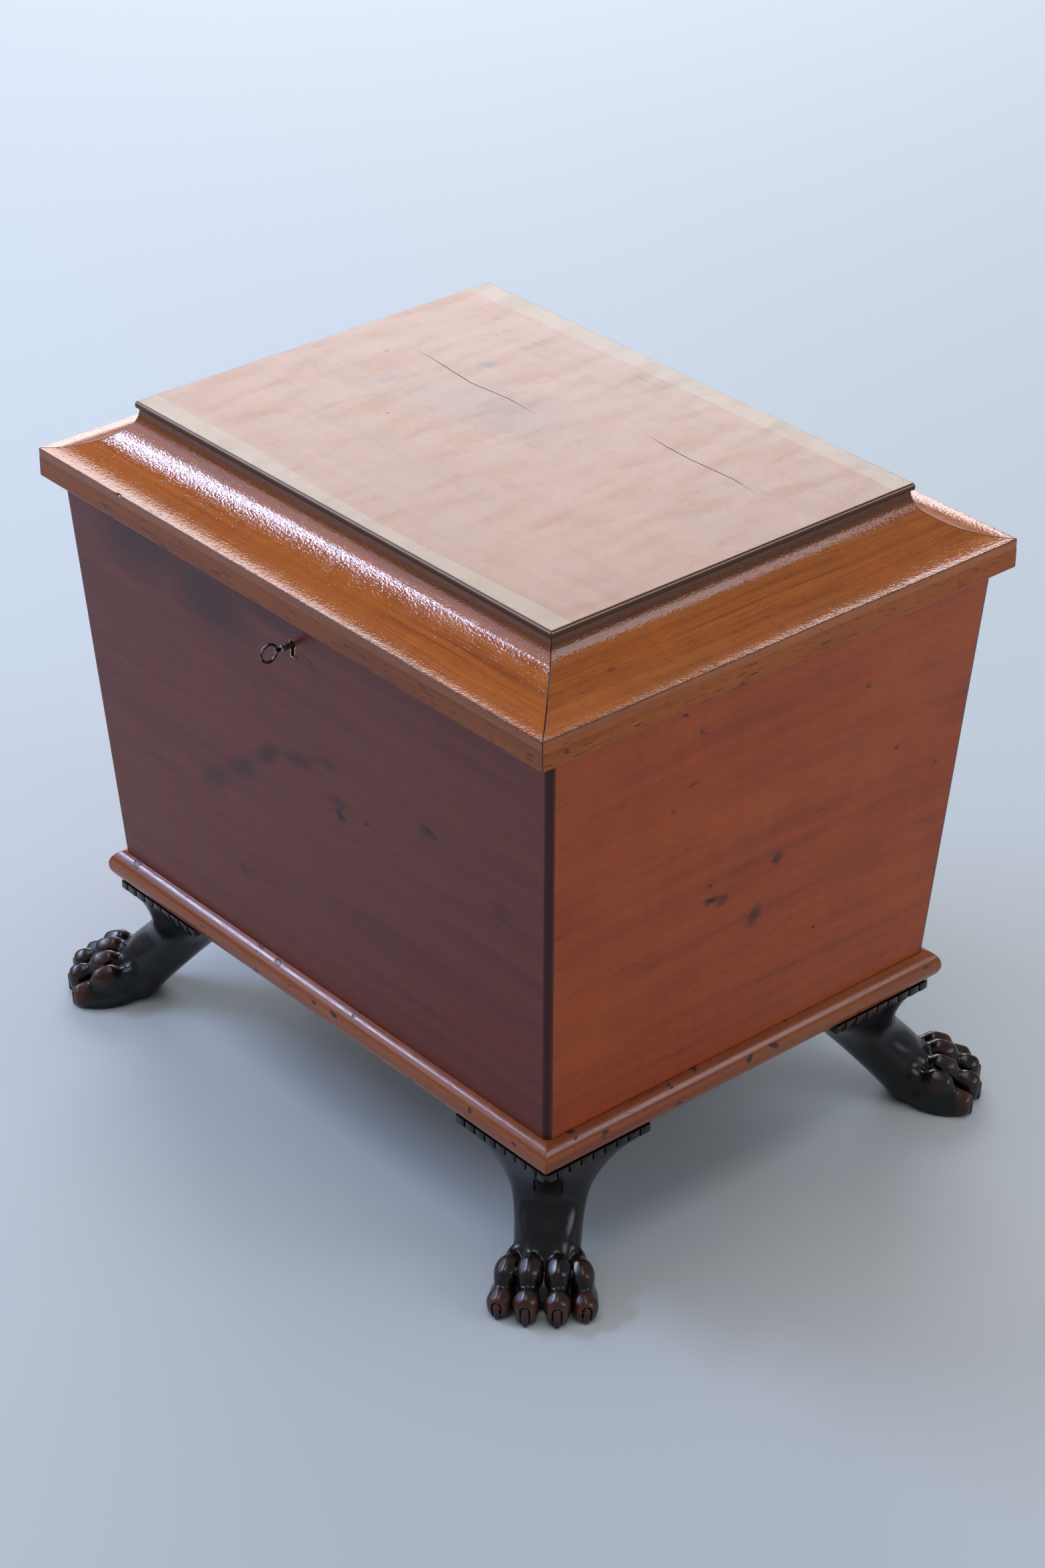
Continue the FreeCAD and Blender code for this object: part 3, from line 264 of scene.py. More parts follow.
sideLook = dict(
    baseLook, axes="YZX", deep="84300c", mid="a64212", light="b84e14", warm="ba5614",
    spots=[
        (-51, 307, 12, 6, -8, 1.0), (-42, 303, 13, 8, -25, 0.7), (-56, 321, 4, 4, 0, 0.8),
        (19, 317, 8, 9, 0, 0.75), (-2, 270, 11, 17, -6, 0.65), (-83, 429, 11, 4, 8, 0.6),
        (-103, 410, 5, 4, 0, 0.55), (-78, 475, 8, 2, -42, 0.7), (102, 448, 8, 2, -30, 0.7),
        (143, 373, 4, 2.5, 0, 0.7), (192, 339, 5, 2.5, -20, 0.6),
    ],
)
# the photograph doesn't show these two boards, so they carry no marks
backLook = dict(frontLook, spots=[])
leftLook = dict(sideLook, spots=[])
topLook = dict(
    baseLook, axes="XYZ", deep="8a5234", mid="9a603a", light="a46a42", warm="a26638", mark="5e4a48",
    # here the worn and dirt tones are dark, and with the marks below they paint shade on the plate's edge: a
    # dark line along its rounded arris and a dark band below it
    worn="3a2822", grimeAndShade="42200e", cornerTone="a58c70", roughness=(0.28, 0.38), dingDark=0.4, poreDark=0.2,
    ior=1.46, under=(577.9, 577.4, 0.95, 573.3), line=(578.6, 579.25),
    spots=[
        (-129, 75, 11, 12, 0, 0.85), (-160, -8, 9, 17, 0, 0.65), (-60, 25, 120, 55, 10, 0.35),
        (-130, 135, 17, 3, 2, 0.6), (-20, 158, 32, 3, 1, 0.55),
    ],
    bands={"from": 167, "to": 170, "color": "a39478", "share": 0.55},
)
lidUnderLook = dict(
    topLook, deep="6a3418", mid="7c4220", light="8a4e28", warm="84481f",
    spots=[], bands=None, under=None, line=None,
)
railLook = dict(
    # the dark worn tone laid on every eased edge here is a painted shade line
    baseLook, axes="XZY", deep="602806", mid="884008", light="9c500e", warm="92480a", worn="34161a",
    warpMm=5, streakMm=(260, 7), poreMm=(15, 1.5), poreDark=0.8, dingMm=22, dingDark=0.55,
    dingSpread="2D", ior=1.37, edgeRubAndShade=(-1, -0.5),
)
sideRailLook = dict(railLook, axes="YZX", deep="7e3a10", mid="a6541a", light="bc6622", warm="ae5a1e")
coveLook = dict(
    # the dark worn tone on every eased edge here is a painted shade line, the rim's top edge among them, and
    # the upper cove is darkened towards the plate as painted shade
    baseLook, axes="XZY", deep="7a3810", mid="a85618", light="c06820", warm="b8621a", worn="3c1c16",
    warpMm=8, streakMm=(300, 5), contrast=(0.42, 0.72, 0.98), ribbon=0.04, dingDark=0.4, dingMm=70,
    fibre=0.6, roughness=(0.09, 0.16), speckle=0.17, ior=1.52, edgeRubAndShade=(-1, -0.5),
    lip=(533.3, railLook), under=(556, 568, 0.6, 0),
)
sideCoveLook = dict(
    coveLook, axes="YZX", deep="7a3a16", mid="a2561e", light="b4662a", lip=(533.3, sideRailLook),
)
mouldingLook = dict(
    baseLook, axes="XZY", deep="682c14", mid="8e441e", light="a85a28", warm="a3582a", warpMm=6,
    streakMm=(300, 6), dingMm=13, dingDark=0.85, dingSpread="2D", dingSize=2.3, ribbon=0.02,
    roughness=(0.18, 0.28), ior=1.52,
)
sideMouldingLook = dict(mouldingLook, axes="YZX")


def toneStops(look):
    # the wood's tones, from the dark streaks to the light ones
    return [(at, hexColor(look[tone])) for at, tone in zip(look["contrast"], ("deep", "mid", "light"))]


def figuredMahogany(name, look):
    # Mahogany, sawn, planed, stained and French polished: red-brown streaks under a thin satin film,
    # short dark pores along the grain and smoky figure round the knots
    material, tree, shader = newMaterial(name)
    grain = placeInMm(tree, look["axes"])
    up = addNode(tree, "split", [placeInMm(tree)]).outputs["Z"]
    warp = grainLines(tree, grain, look["warpLines"], detail=2.0)
    bend = (look["warpAlong"] * look["warpMm"], look["warpMm"], look["warpMm"])
    bent = addNode(tree, "vectorMultiplyAdd", (warp.outputs["Color"], bend, grain))
    streaks = grainLines(tree, bent, look["streakMm"], detail=5.0)
    fibre = grainLines(tree, bent, look["fibreMm"], detail=2.0, shift=7.0)
    ribbon = grainLines(tree, bent, look["ribbonMm"], detail=2.0, shift=3.0)
    clouds = grainLines(tree, grain, look["cloudMm"], detail=3.0, shift=11.0)
    pores = grainLines(tree, bent, look["poreMm"], detail=1.0, shift=5.0)
    swell = grainLines(tree, grain, look["swellMm"], detail=1.0, shift=17.0)
    speckle = grainLines(tree, grain, look["speckleMm"], detail=1.0, shift=23.0)

    # streaks and fibre make the wood's colour; coats lie over it, each as a share, a colour and a blend
    depth = addNode(tree, "multiplyAdd", (fibre, look["fibre"], streaks))
    color = addNode(tree, "ramp", [depth], toneStops(look))
    warmth = addNode(tree, "fade", (clouds, *look["warmRange"]))
    coats = [(warmth, hexColor(look["warm"]), "MIX")]
    if look["lip"]:
        # below a height the board shows the paler wood of the rail under it
        (height, lower), soft = look["lip"], look["lipSoft"]
        below = addNode(tree, "fade", (up, height + soft, height - soft))
        coats.append((below, addNode(tree, "ramp", [depth], toneStops(lower)), "MIX"))
    shade = addNode(tree, "fade", (ribbon, *look["ribbonRange"], 1 - look["ribbon"], 1 + look["ribbon"]))
    coats.append((1.0, addNode(tree, "join", (shade, shade, shade)), "MULTIPLY"))
    if look["bands"]:
        # pale sapwood along both long edges
        bands = look["bands"]
        across = addNode(tree, "split", [bent]).outputs["Y"]
        offset = addNode(tree, "add", (across, -look["warpMm"] / 2))
        away = addNode(tree, "absolute", [offset])
        pale = addNode(tree, "fade", (away, bands["from"], bands["to"], 0.0, bands["share"]))
        coats.append((pale, hexColor(bands["color"]), "MIX"))

    # smudges and knots, and on the front board a painted shadow of the key, with ragged edges along the grain
    rag = grainLines(tree, grain, look["ragMm"], detail=4.0, shift=2.0)
    reach = look["ragReach"]
    ragged = addNode(tree, "vectorMultiplyAdd", (rag.outputs["Color"], (reach, reach, 0), grain))
    centred = addNode(tree, "vectorSubtract", (ragged, (reach / 2, reach / 2, 0)))
    smudgeAndShadow = None
    for spot in look["spots"]:
        mask = softSpot(tree, centred, spot)
        smudgeAndShadow = addNode(tree, "maximum", (smudgeAndShadow, mask)) if smudgeAndShadow else mask
    if smudgeAndShadow:
        coats.append((smudgeAndShadow, hexColor(look["mark"]), "MIX"))

    # small old knocks, one here and there, and dirt in the pores
    cellPlace = addNode(tree, "vectorMultiply", (centred, look["dingStretch"]))
    cells = addNode(tree, "cells", {"Vector": cellPlace, "Scale": 1 / look["dingMm"]},
                    voronoi_dimensions=look["dingSpread"])
    chance = addNode(tree, "split", [cells.outputs["Color"]]).outputs["X"]
    size = addNode(tree, "fade", (chance, look["dingSpare"], 1.0, 0.0, look["dingSize"] / look["dingMm"]))
    inside = addNode(tree, "subtract", (size, cells.outputs["Distance"]))
    dings = addNode(tree, "fade", (inside, 0.0, look["dingEdge"] / look["dingMm"]))
    pitted = addNode(tree, "fade", (pores, *look["poreRange"]))
    poreMask = addNode(tree, "multiply", (pitted, look["poreDark"]))
    dingMask = addNode(tree, "multiply", (dings, look["dingDark"]))
    dirt = addNode(tree, "maximum", (poreMask, dingMask))
    coats.append((dirt, hexColor(look["grimeAndShade"]), "MIX"))

    # a tone of its own on the faces marked as corners: dark old polish on the chest's rounded corners, a pale
    # tone on the top's edge
    corner = addNode(tree, "attribute", attribute_name="corner").outputs["Fac"]
    darkness = addNode(tree, "multiply", (corner, look["cornerDark"]))
    coats.append((darkness, hexColor(look["cornerTone"]), "MIX"))
    if look["under"]:
        # painted shade: what lies close under an overhang is darkened, where shade falls
        (start, end, dark, stop), soft = look["under"], look["underSoft"]
        shadow = addNode(tree, "fade", (up, start, end, 0.0, dark))
        kept = addNode(tree, "fade", (up, stop - soft, stop + soft))
        coats.append((addNode(tree, "multiply", (shadow, kept)), hexColor(look["grimeAndShade"]), "MIX"))
    if look["line"]:
        # painted shade: a dark line along the rounded edge
        (start, end), (softStart, softEnd) = look["line"], look["lineSoft"]
        above = addNode(tree, "fade", (up, start - softStart, start + softStart))
        below = addNode(tree, "fade", (up, end + softEnd, end - softEnd))
        coats.append((addNode(tree, "multiply", (above, below)), hexColor(look["worn"]), "MIX"))

    # the worn tone on the eased edges, where the clouds allow: rubbed wood where the tone is pale; on the
    # rails, coves and top, where it is dark, a painted shade line
    edge = addNode(tree, "attribute", attribute_name="edge").outputs["Fac"]
    rubbed = addNode(tree, "fade", (clouds, *look["edgeRubAndShade"]))
    coats.append((addNode(tree, "multiply", (edge, rubbed)), hexColor(look["worn"]), "MIX"))
    for share, tone, blend in coats:
        color = addNode(tree, "mix", (share, color, tone), blend_type=blend)

    haze = addNode(tree, "multiplyAdd", (dirt, look["hazeOfDirt"], ribbon))
    roughness = addNode(tree, "fade", (haze, *look["hazeRange"], *look["roughness"]))
    relief = addNode(tree, "multiply", (fibre, look["fibreRise"]))
    for mask, rise in ((pitted, "poreRise"), (dings, "dingRise"), (swell, "swellRise"), (speckle, "speckle")):
        relief = addNode(tree, "multiplyAdd", (mask, look[rise], relief))
    finishShader(tree, shader, color, roughness, relief, {"IOR": look["ior"]})
    return material


# ebonised feet
ebonyLook = {
    "black": "0a090c",
    "soft": "151315",
    "rubbed": "5c2c1a",
    "patch": "0d0203",
    # painted shade in the hollows and in the gaps of the reeded block, and how strongly it is laid on
    "hollowShade": "050506",
    "hollowShadeStrength": 0.8,
    "cloudMm": (30, 30),
    "fibreMm": (6, 1.6),
    "softRange": (0.35, 0.7),
    # how far clouds break up the rubbed places, and where rubbing begins and is whole
    "cloudyWear": 0.8,
    "wearRange": (0.62, 1.15),
    "patchDull": 0.9,
    "dullRange": (0.3, 1.2),
    "roughness": (0.19, 0.46),
    "ior": 1.46,
    "fibreRise": 0.06,
    "cloudRise": 0.35,
}


def ebonisedWood(name, look):
    # Carved beech, stained black and waxed: bluish-black satin, brown where hands and brooms have rubbed
    material, tree, shader = newMaterial(name)
    where = placeInMm(tree)
    clouds = grainLines(tree, where, look["cloudMm"], detail=4.0)
    fibre = grainLines(tree, where, look["fibreMm"], detail=3.0, shift=4.0)
    wear, recess, cavity = (addNode(tree, "attribute", attribute_name=mark).outputs["Fac"]
                            for mark in ("wear", "recess", "cavity"))
    patchy = addNode(tree, "multiplyAdd", (clouds, look["cloudyWear"], wear))
    color = hexColor(look["black"])
    # over the black go softer clouds, brown rubbing, the dull patch and a painted shade in the hollows
    for share, tone in (
        (addNode(tree, "fade", (clouds, *look["softRange"])), "soft"),
        (addNode(tree, "fade", (patchy, *look["wearRange"])), "rubbed"),
        (recess, "patch"),
        (addNode(tree, "multiply", (cavity, look["hollowShadeStrength"])), "hollowShade"),
    ):
        color = addNode(tree, "mix", (share, color, hexColor(look[tone])))
    dull = addNode(tree, "multiplyAdd", (recess, look["patchDull"], clouds))
    roughness = addNode(tree, "fade", (dull, *look["dullRange"], *look["roughness"]))
    relief = addNode(tree, "multiply", (fibre, look["fibreRise"]))
    relief = addNode(tree, "multiplyAdd", (clouds, look["cloudRise"], relief))
    finishShader(tree, shader, color, roughness, relief, {"IOR": look["ior"]})
    return material


# metals of the fittings: patches of film and pits in millimetres, the pits coarse enough to show
metalLooks = {
    "iron": {"clean": "5b5a5c", "stain": "2a2422", "roughness": (0.32, 0.6), "filmMm": (3, 3)},
    "key_iron": {"clean": "8f8e92", "stain": "3a3638", "roughness": (0.2, 0.42), "filmMm": (5, 5)},
    "brass": {"clean": "b3a179", "stain": "55462c", "roughness": (0.26, 0.5), "filmMm": (4, 4)},
    "zinc": {"clean": "9aa0a3", "stain": "6d7274", "roughness": (0.4, 0.65), "filmMm": (14, 14)},
}
metalWear = {"stainRange": (0.4, 0.66), "dullRange": (0.3, 0.7), "pitMm": (0.9, 0.9), "pitRise": 0.04}


def agedMetal(name, look, wear):
    # Cast or rolled metal, handled and left to tone: bright where rubbed, brown-black film in patches
    material, tree, shader = newMaterial(name)
    where = placeInMm(tree)
    film = grainLines(tree, where, look["filmMm"], detail=5.0)
    pits = grainLines(tree, where, wear["pitMm"], detail=2.0, shift=3.0)
    stain = addNode(tree, "fade", (film, *wear["stainRange"]))
    color = addNode(tree, "mix", (stain, hexColor(look["clean"]), hexColor(look["stain"])))
    roughness = addNode(tree, "fade", (film, *wear["dullRange"], *look["roughness"]))
    relief = addNode(tree, "multiply", (pits, wear["pitRise"]))
    finishShader(tree, shader, color, roughness, relief, {"Metallic": 1.0})
    return material


# raw oak of the bottom board and the bottle dividers, its pores drawn coarse enough to show
oakLook = {
    "deep": "6b4c2c",
    "light": "a07b4c",
    "pore": "4a3520",
    "ringMm": (260, 6),
    "poreMm": (14, 0.9),
    "toneRange": (0.3, 0.7),
    "poreRange": (0.56, 0.7, 0.0, 0.7),
    "roughness": (0.55, 0.75),
    "poreRise": -0.08,
    "ior": 1.5,
}


def plainOak(name, look, axes):
    # Quartered oak, planed and left raw: pale brown lines, long open pores and a dry matt face
    material, tree, shader = newMaterial(name)
    grain = placeInMm(tree, axes)
    rings = grainLines(tree, grain, look["ringMm"], detail=4.0)
    pores = grainLines(tree, grain, look["poreMm"], detail=1.0, shift=5.0)
    tones = [hexColor(look[tone]) for tone in ("deep", "light")]
    wood = addNode(tree, "ramp", [rings], list(zip(look["toneRange"], tones)))
    pitted = addNode(tree, "fade", (pores, *look["poreRange"]))
    color = addNode(tree, "mix", (pitted, wood, hexColor(look["pore"])))
    roughness = addNode(tree, "fade", (rings, *look["toneRange"], *look["roughness"]))
    relief = addNode(tree, "multiply", (pitted, look["poreRise"]))
    finishShader(tree, shader, color, roughness, relief, {"IOR": look["ior"]})
    return material


woodLooks = {
    "front_polished": frontLook,
    "side_polished": sideLook,
    "back_polished": backLook,
    "left_polished": leftLook,
    "top_polished": topLook,
    "lid_underside_polished": lidUnderLook,
    "cove_polished_x": coveLook,
    "cove_polished_y": sideCoveLook,
    "rail_polished_x": railLook,
    "rail_polished_y": sideRailLook,
    "moulding_polished_x": mouldingLook,
    "moulding_polished_y": sideMouldingLook,
}
woods = {key: figuredMahogany(f"mahogany_{key}", look) for key, look in woodLooks.items()}
ebony = ebonisedWood("beech_ebonised_waxed", ebonyLook)
metals = {key: agedMetal(f"{key}_aged", look, metalWear) for key, look in metalLooks.items()}
oakX = plainOak("oak_raw_x", oakLook, "XZY")
oakY = plainOak("oak_raw_y", oakLook, "YZX")
print("materials made:", len(bpy.data.materials))


# pieces eased from the joiner's solids: arrises softened, faces kept
easing = {
    "boardsMm": 0.5,
    "topMm": 0.8,
    "mouldingMm": 0.4,
    "lidMm": 0.6,
    "metalMm": 0.25,
    "oakMm": 0.6,
    "weldMm": 0.002,
    "flatDegrees": 0.6,
    "arrisDegrees": 28,
    "creaseDegrees": 50,
    # height of the glued joint between lid frame and coves
    "glueLine": 525.5,
}


def addPiece(name, mesh, material, body, slot, *nodes):
    piece = bpy.data.objects.new(name, mesh)
    scene.collection.objects.link(piece)
    mesh.materials.clear()
    mesh.materials.append(material)
    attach(piece, body)
    if nodes:
        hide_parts(*nodes)
    return piece


def smoothFaces(mesh):
    mesh.polygons.foreach_set("use_smooth", [True] * len(mesh.polygons))
    mesh.set_sharp_from_angle(angle=math.radians(easing["creaseDegrees"]))


def easedCopy(node, material, body, slot, easeMm, cornerFaces=None, glueLine=None, tightUprights=False):
    bm = bmesh.new()
    bm.from_mesh(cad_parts[node].data)
    bmesh.ops.remove_doubles(bm, verts=bm.verts, dist=easing["weldMm"] * mm)
    flat = math.radians(easing["flatDegrees"])
    bmesh.ops.dissolve_limit(bm, angle_limit=flat, verts=bm.verts, edges=bm.edges)
    edgeLayer = bm.faces.layers.float.new("edge")
    cornerLayer = bm.faces.layers.float.new("corner")
    for face in bm.faces:
        face[cornerLayer] = 1.0 if cornerFaces and cornerFaces(face.normal) else 0.0
    arris = math.radians(easing["arrisDegrees"])
    sharp = [e for e in bm.edges if len(e.link_faces) == 2 and e.calc_face_angle(0) > arris]
    if glueLine:
        # glued joints stay tight, with no groove between the two pieces
        sharp = [e for e in sharp if any(abs(v.co.z / mm - glueLine) > 0.1 for v in e.verts)]
    if tightUprights:
        # only the upper and lower edges are eased, so the boards' corners meet
        sharp = [e for e in sharp if any(abs(face.normal.z) > 0.3 for face in e.link_faces)]
    eased = bmesh.ops.bevel(bm, geom=sharp, offset=easeMm * mm, segments=2, profile=0.5,
                            affect="EDGES", clamp_overlap=True)
    for face in eased["faces"]:
        face[edgeLayer] = 1.0
    mesh = bpy.data.meshes.new(f"{node}_eased")
    bm.to_mesh(mesh)
    bm.free()
    piece = addPiece(f"{node}_eased", mesh, material, body, slot, node)
    smoothFaces(mesh)
    weighted = piece.modifiers.new("flat faces stay flat", "WEIGHTED_NORMAL")
    weighted.keep_sharp = True
    return piece


def roundedCorner(normal):
    # upright faces that turn from one side of the chest to the next
    return abs(normal.x) > 0.12 and abs(normal.y) > 0.12 and abs(normal.z) < 0.3


def plateEdge(normal):
    # faces of the top that look neither up nor down
    return -0.9 < normal.z < 0.8


def repaint(piece, material, way):
    # faces that look the given way get a look of their own
    piece.data.materials.append(material)
    for face in piece.data.polygons:
        if face.normal.dot(Vector(way)) > 0.9:
            face.material_index = len(piece.data.materials) - 1


wood = "figured_mahogany"
boards = {}
for side, look in (("front", "front"), ("back", "back"), ("left", "left"), ("right", "side")):
    corners = roundedCorner if side in ("front", "back") else None
    boards[side] = easedCopy(f"{side}_panel", woods[f"{look}_polished"], "carcase", wood,
                             easing["boardsMm"], corners, tightUprights=True)
for side in ("front", "back"):
    for look, way in (("side", (1, 0, 0)), ("left", (-1, 0, 0)), ("back", (0, 1, 0))):
        repaint(boards[side], woods[f"{look}_polished"], way)
repaint(boards["right"], woods["left_polished"], (-1, 0, 0))
topPanel = easedCopy("lid_top_panel", woods["top_polished"], "lid", wood, easing["topMm"], plateEdge)
repaint(topPanel, woods["lid_underside_polished"], (0, 0, -1))
for side, way in (("front", "x"), ("back", "x"), ("left", "y"), ("right", "y")):
    moulding, rail, cove = (woods[f"{name}_polished_{way}"] for name in ("moulding", "rail", "cove"))
    easedCopy(f"base_moulding_{side}", moulding, "carcase", wood, easing["mouldingMm"])
    for name, look in (("lid_rail", rail), ("cove", cove)):
        easedCopy(f"{name}_{side}", look, "lid", wood, easing["lidMm"], glueLine=easing["glueLine"])
print("boards eased")


# old damage cut into the boards, in millimetres
damage = {
    # two shrinkage cracks along the grain of the top, as lines of (x, y), with width and depth
    "cracks": [
        [(-190, 51), (-150, 47.4), (-109, 42.8), (-66, 46.6), (-28, 44.6)],
        [(59, 87.6), (86, 84.6), (113, 83.2), (163, 85.2), (194, 81.4)],
    ],
    "crackSize": (0.9, 1.6),
    "crackEnd": 0.15,
    "top": 579.5,
    # a chip out of the front rim's upper edge and a nail hole in the front cove:
    # place, half sizes and how dark
    "lumps": [
        ((-206, -250, 534.4), (6.5, 3.6, 3.6), 0.3),
        ((118, -222, 541.5), (1.1, 2.2, 2.2), 1.0),
    ],
}


def cutOut(piece, verts, faces, dark=1.0):
    # takes a small solid out of a piece and leaves the cut's walls darker
    mesh = bpy.data.meshes.new("cutter")
    mesh.from_pydata([[c * mm for c in v] for v in verts], [], faces)
    bm = bmesh.new()
    bm.from_mesh(mesh)
    bmesh.ops.recalc_face_normals(bm, faces=bm.faces)
    bm.to_mesh(mesh)
    bm.free()
    layer = mesh.attributes.new("corner", "FLOAT", "FACE")
    layer.data.foreach_set("value", [dark] * len(faces))
    cutter = bpy.data.objects.new("cutter", mesh)
    scene.collection.objects.link(cutter)
    cut = piece.modifiers.new("cut", "BOOLEAN")
    cut.operation = "DIFFERENCE"
    cut.solver = "EXACT"
    cut.object = cutter
    with bpy.context.temp_override(object=piece, active_object=piece):
        bpy.ops.object.modifier_move_to_index(modifier="cut", index=0)
        bpy.ops.object.modifier_apply(modifier="cut")
    bpy.data.objects.remove(cutter)
    bpy.data.meshes.remove(mesh)


def crackSolid(line, look):
    # a ditch with a V section that thins out at both ends and reaches a little above the face
    width, depth = look["crackSize"]
    over = 0.6
    verts = []
    for number, (x, y) in enumerate(line):
        gape = look["crackEnd"] if number in (0, len(line) - 1) else 1.0
        half, deep = width / 2 * gape * (1 + over), depth * gape
        brim = look["top"] + deep * over
        verts += [(x, y - half, brim), (x, y + half, brim), (x, y, look["top"] - deep)]
    faces = [(2, 1, 0), tuple(len(verts) - 3 + k for k in range(3))]
    for start in range(0, len(verts) - 3, 3):
        for k in range(3):
            a, b = start + k, start + (k + 1) % 3
            faces.append((a, b, b + 3, a + 3))
    return verts, faces


def roughLump(centre, half):
    # a faceted lump, as a splinter leaves when it breaks away: two poles and three uneven rings
    sides = 7
    verts = [(0, 0, -1), (0, 0, 1)]
    for ring, (z, wide) in enumerate(((-0.55, 0.8), (0.1, 1.0), (0.6, 0.75))):
        for k in range(sides):
            turn = 2 * math.pi * (k + 0.3 * ring) / sides
            reach = wide * (1 + 0.12 * math.sin(3.1 * k + ring))
            verts.append((reach * math.cos(turn), reach * math.sin(turn), z))
    low, middle, high = (2 + sides * ring for ring in range(3))
    faces = []
    for k in range(sides):
        ahead = (k + 1) % sides
        faces.append((0, low + ahead, low + k))
        faces.append((1, high + k, high + ahead))
        for start in (low, middle):
            faces.append((start + k, start + ahead, start + sides + ahead, start + sides + k))
    return [[c + h * p for c, h, p in zip(centre, half, v)] for v in verts], faces


for line in damage["cracks"]:
    cutOut(topPanel, *crackSolid(line, damage))
for centre, half, dark in damage["lumps"]:
    cutOut(bpy.data.objects["cove_front_eased"], *roughLump(centre, half), dark)
print("old damage cut")


# metal fittings and raw oak, with their sawn and filed edges broken
fittings = {
    "brass": ["keyhole_escutcheon", "hinge_leaf_carcase_left", "hinge_leaf_carcase_right",
              "hinge_leaf_lid_left", "hinge_leaf_lid_right", "hinge_pin_left", "hinge_pin_right",
              "hinge_screws_carcase", "hinge_screws_lid"],
    "iron": ["lock_plate", "lock_case", "drill_pin", "lock_bolt", "link_plate", "lock_screws",
             "link_plate_screws"],
    "zinc": ["zinc_liner"],
}
bodyOf = {"hinge_leaf_lid_left": "lid", "hinge_leaf_lid_right": "lid", "hinge_screws_lid": "lid",
          "link_plate": "lid", "link_plate_screws": "lid", "lock_bolt": "bolt"}
for metal, names in fittings.items():
    for node in names:
        easedCopy(node, metals[metal], bodyOf.get(node, "carcase"), metal, easing["metalMm"])
for node in ("base_board", "long_divider_front", "long_divider_back",
             "cross_divider_left", "cross_divider_middle", "cross_divider_right"):
    oak = oakY if node.startswith("cross") else oakX
    easedCopy(node, oak, "carcase", "oak", easing["oakMm"])

# screws with heads up or down, and the slot sawn across each head, every one left at another angle
screwSlot = {
    "wide": 0.8,
    "deep": 0.9,
    "reach": 0.6,
    "turn": 62.9,
    "headsUp": {"hinge_screws_carcase": True, "hinge_screws_lid": False,
                "lock_screws": True, "link_plate_screws": False},
}


def screwBoxes(mesh):
    # low and high corner of each screw of a set, in millimetres
    bm = bmesh.new()
    bm.from_mesh(mesh)
    left, boxes = set(bm.verts), []
    while left:
        island, front = set(), [next(v for v in bm.verts if v in left)]
        while front:
            vert = front.pop()
            if vert not in island:
                island.add(vert)
                front += [e.other_vert(vert) for e in vert.link_edges]
        left -= island
        places = np.array([v.co for v in island]) / mm
        boxes.append((tuple(places.min(0)), tuple(places.max(0))))
    bm.free()
    return sorted(boxes)


def slotScrews(node, headUp, slot):
    piece = bpy.data.objects[f"{node}_eased"]
    box = [(3, 2, 1, 0), (4, 5, 6, 7), (0, 1, 5, 4), (1, 2, 6, 5), (2, 3, 7, 6), (3, 0, 4, 7)]
    for number, (low, high) in enumerate(screwBoxes(piece.data)):
        x, y = (low[0] + high[0]) / 2, (low[1] + high[1]) / 2
        reach = (high[0] - low[0]) * slot["reach"]
        turn = math.radians(slot["turn"] * (number + 1))
        level = high[2] if headUp else low[2]
        verts = []
        for z in (level - slot["deep"], level + slot["deep"]):
            for a, b in ((-1, -1), (1, -1), (1, 1), (-1, 1)):
                along, across = a * reach, b * slot["wide"] / 2
                verts.append((x + along * math.cos(turn) - across * math.sin(turn),
                              y + along * math.sin(turn) + across * math.cos(turn), z))
        cutOut(piece, verts, box)


for node, headUp in screwSlot["headsUp"].items():
    slotScrews(node, headUp, screwSlot)
print("fittings eased")


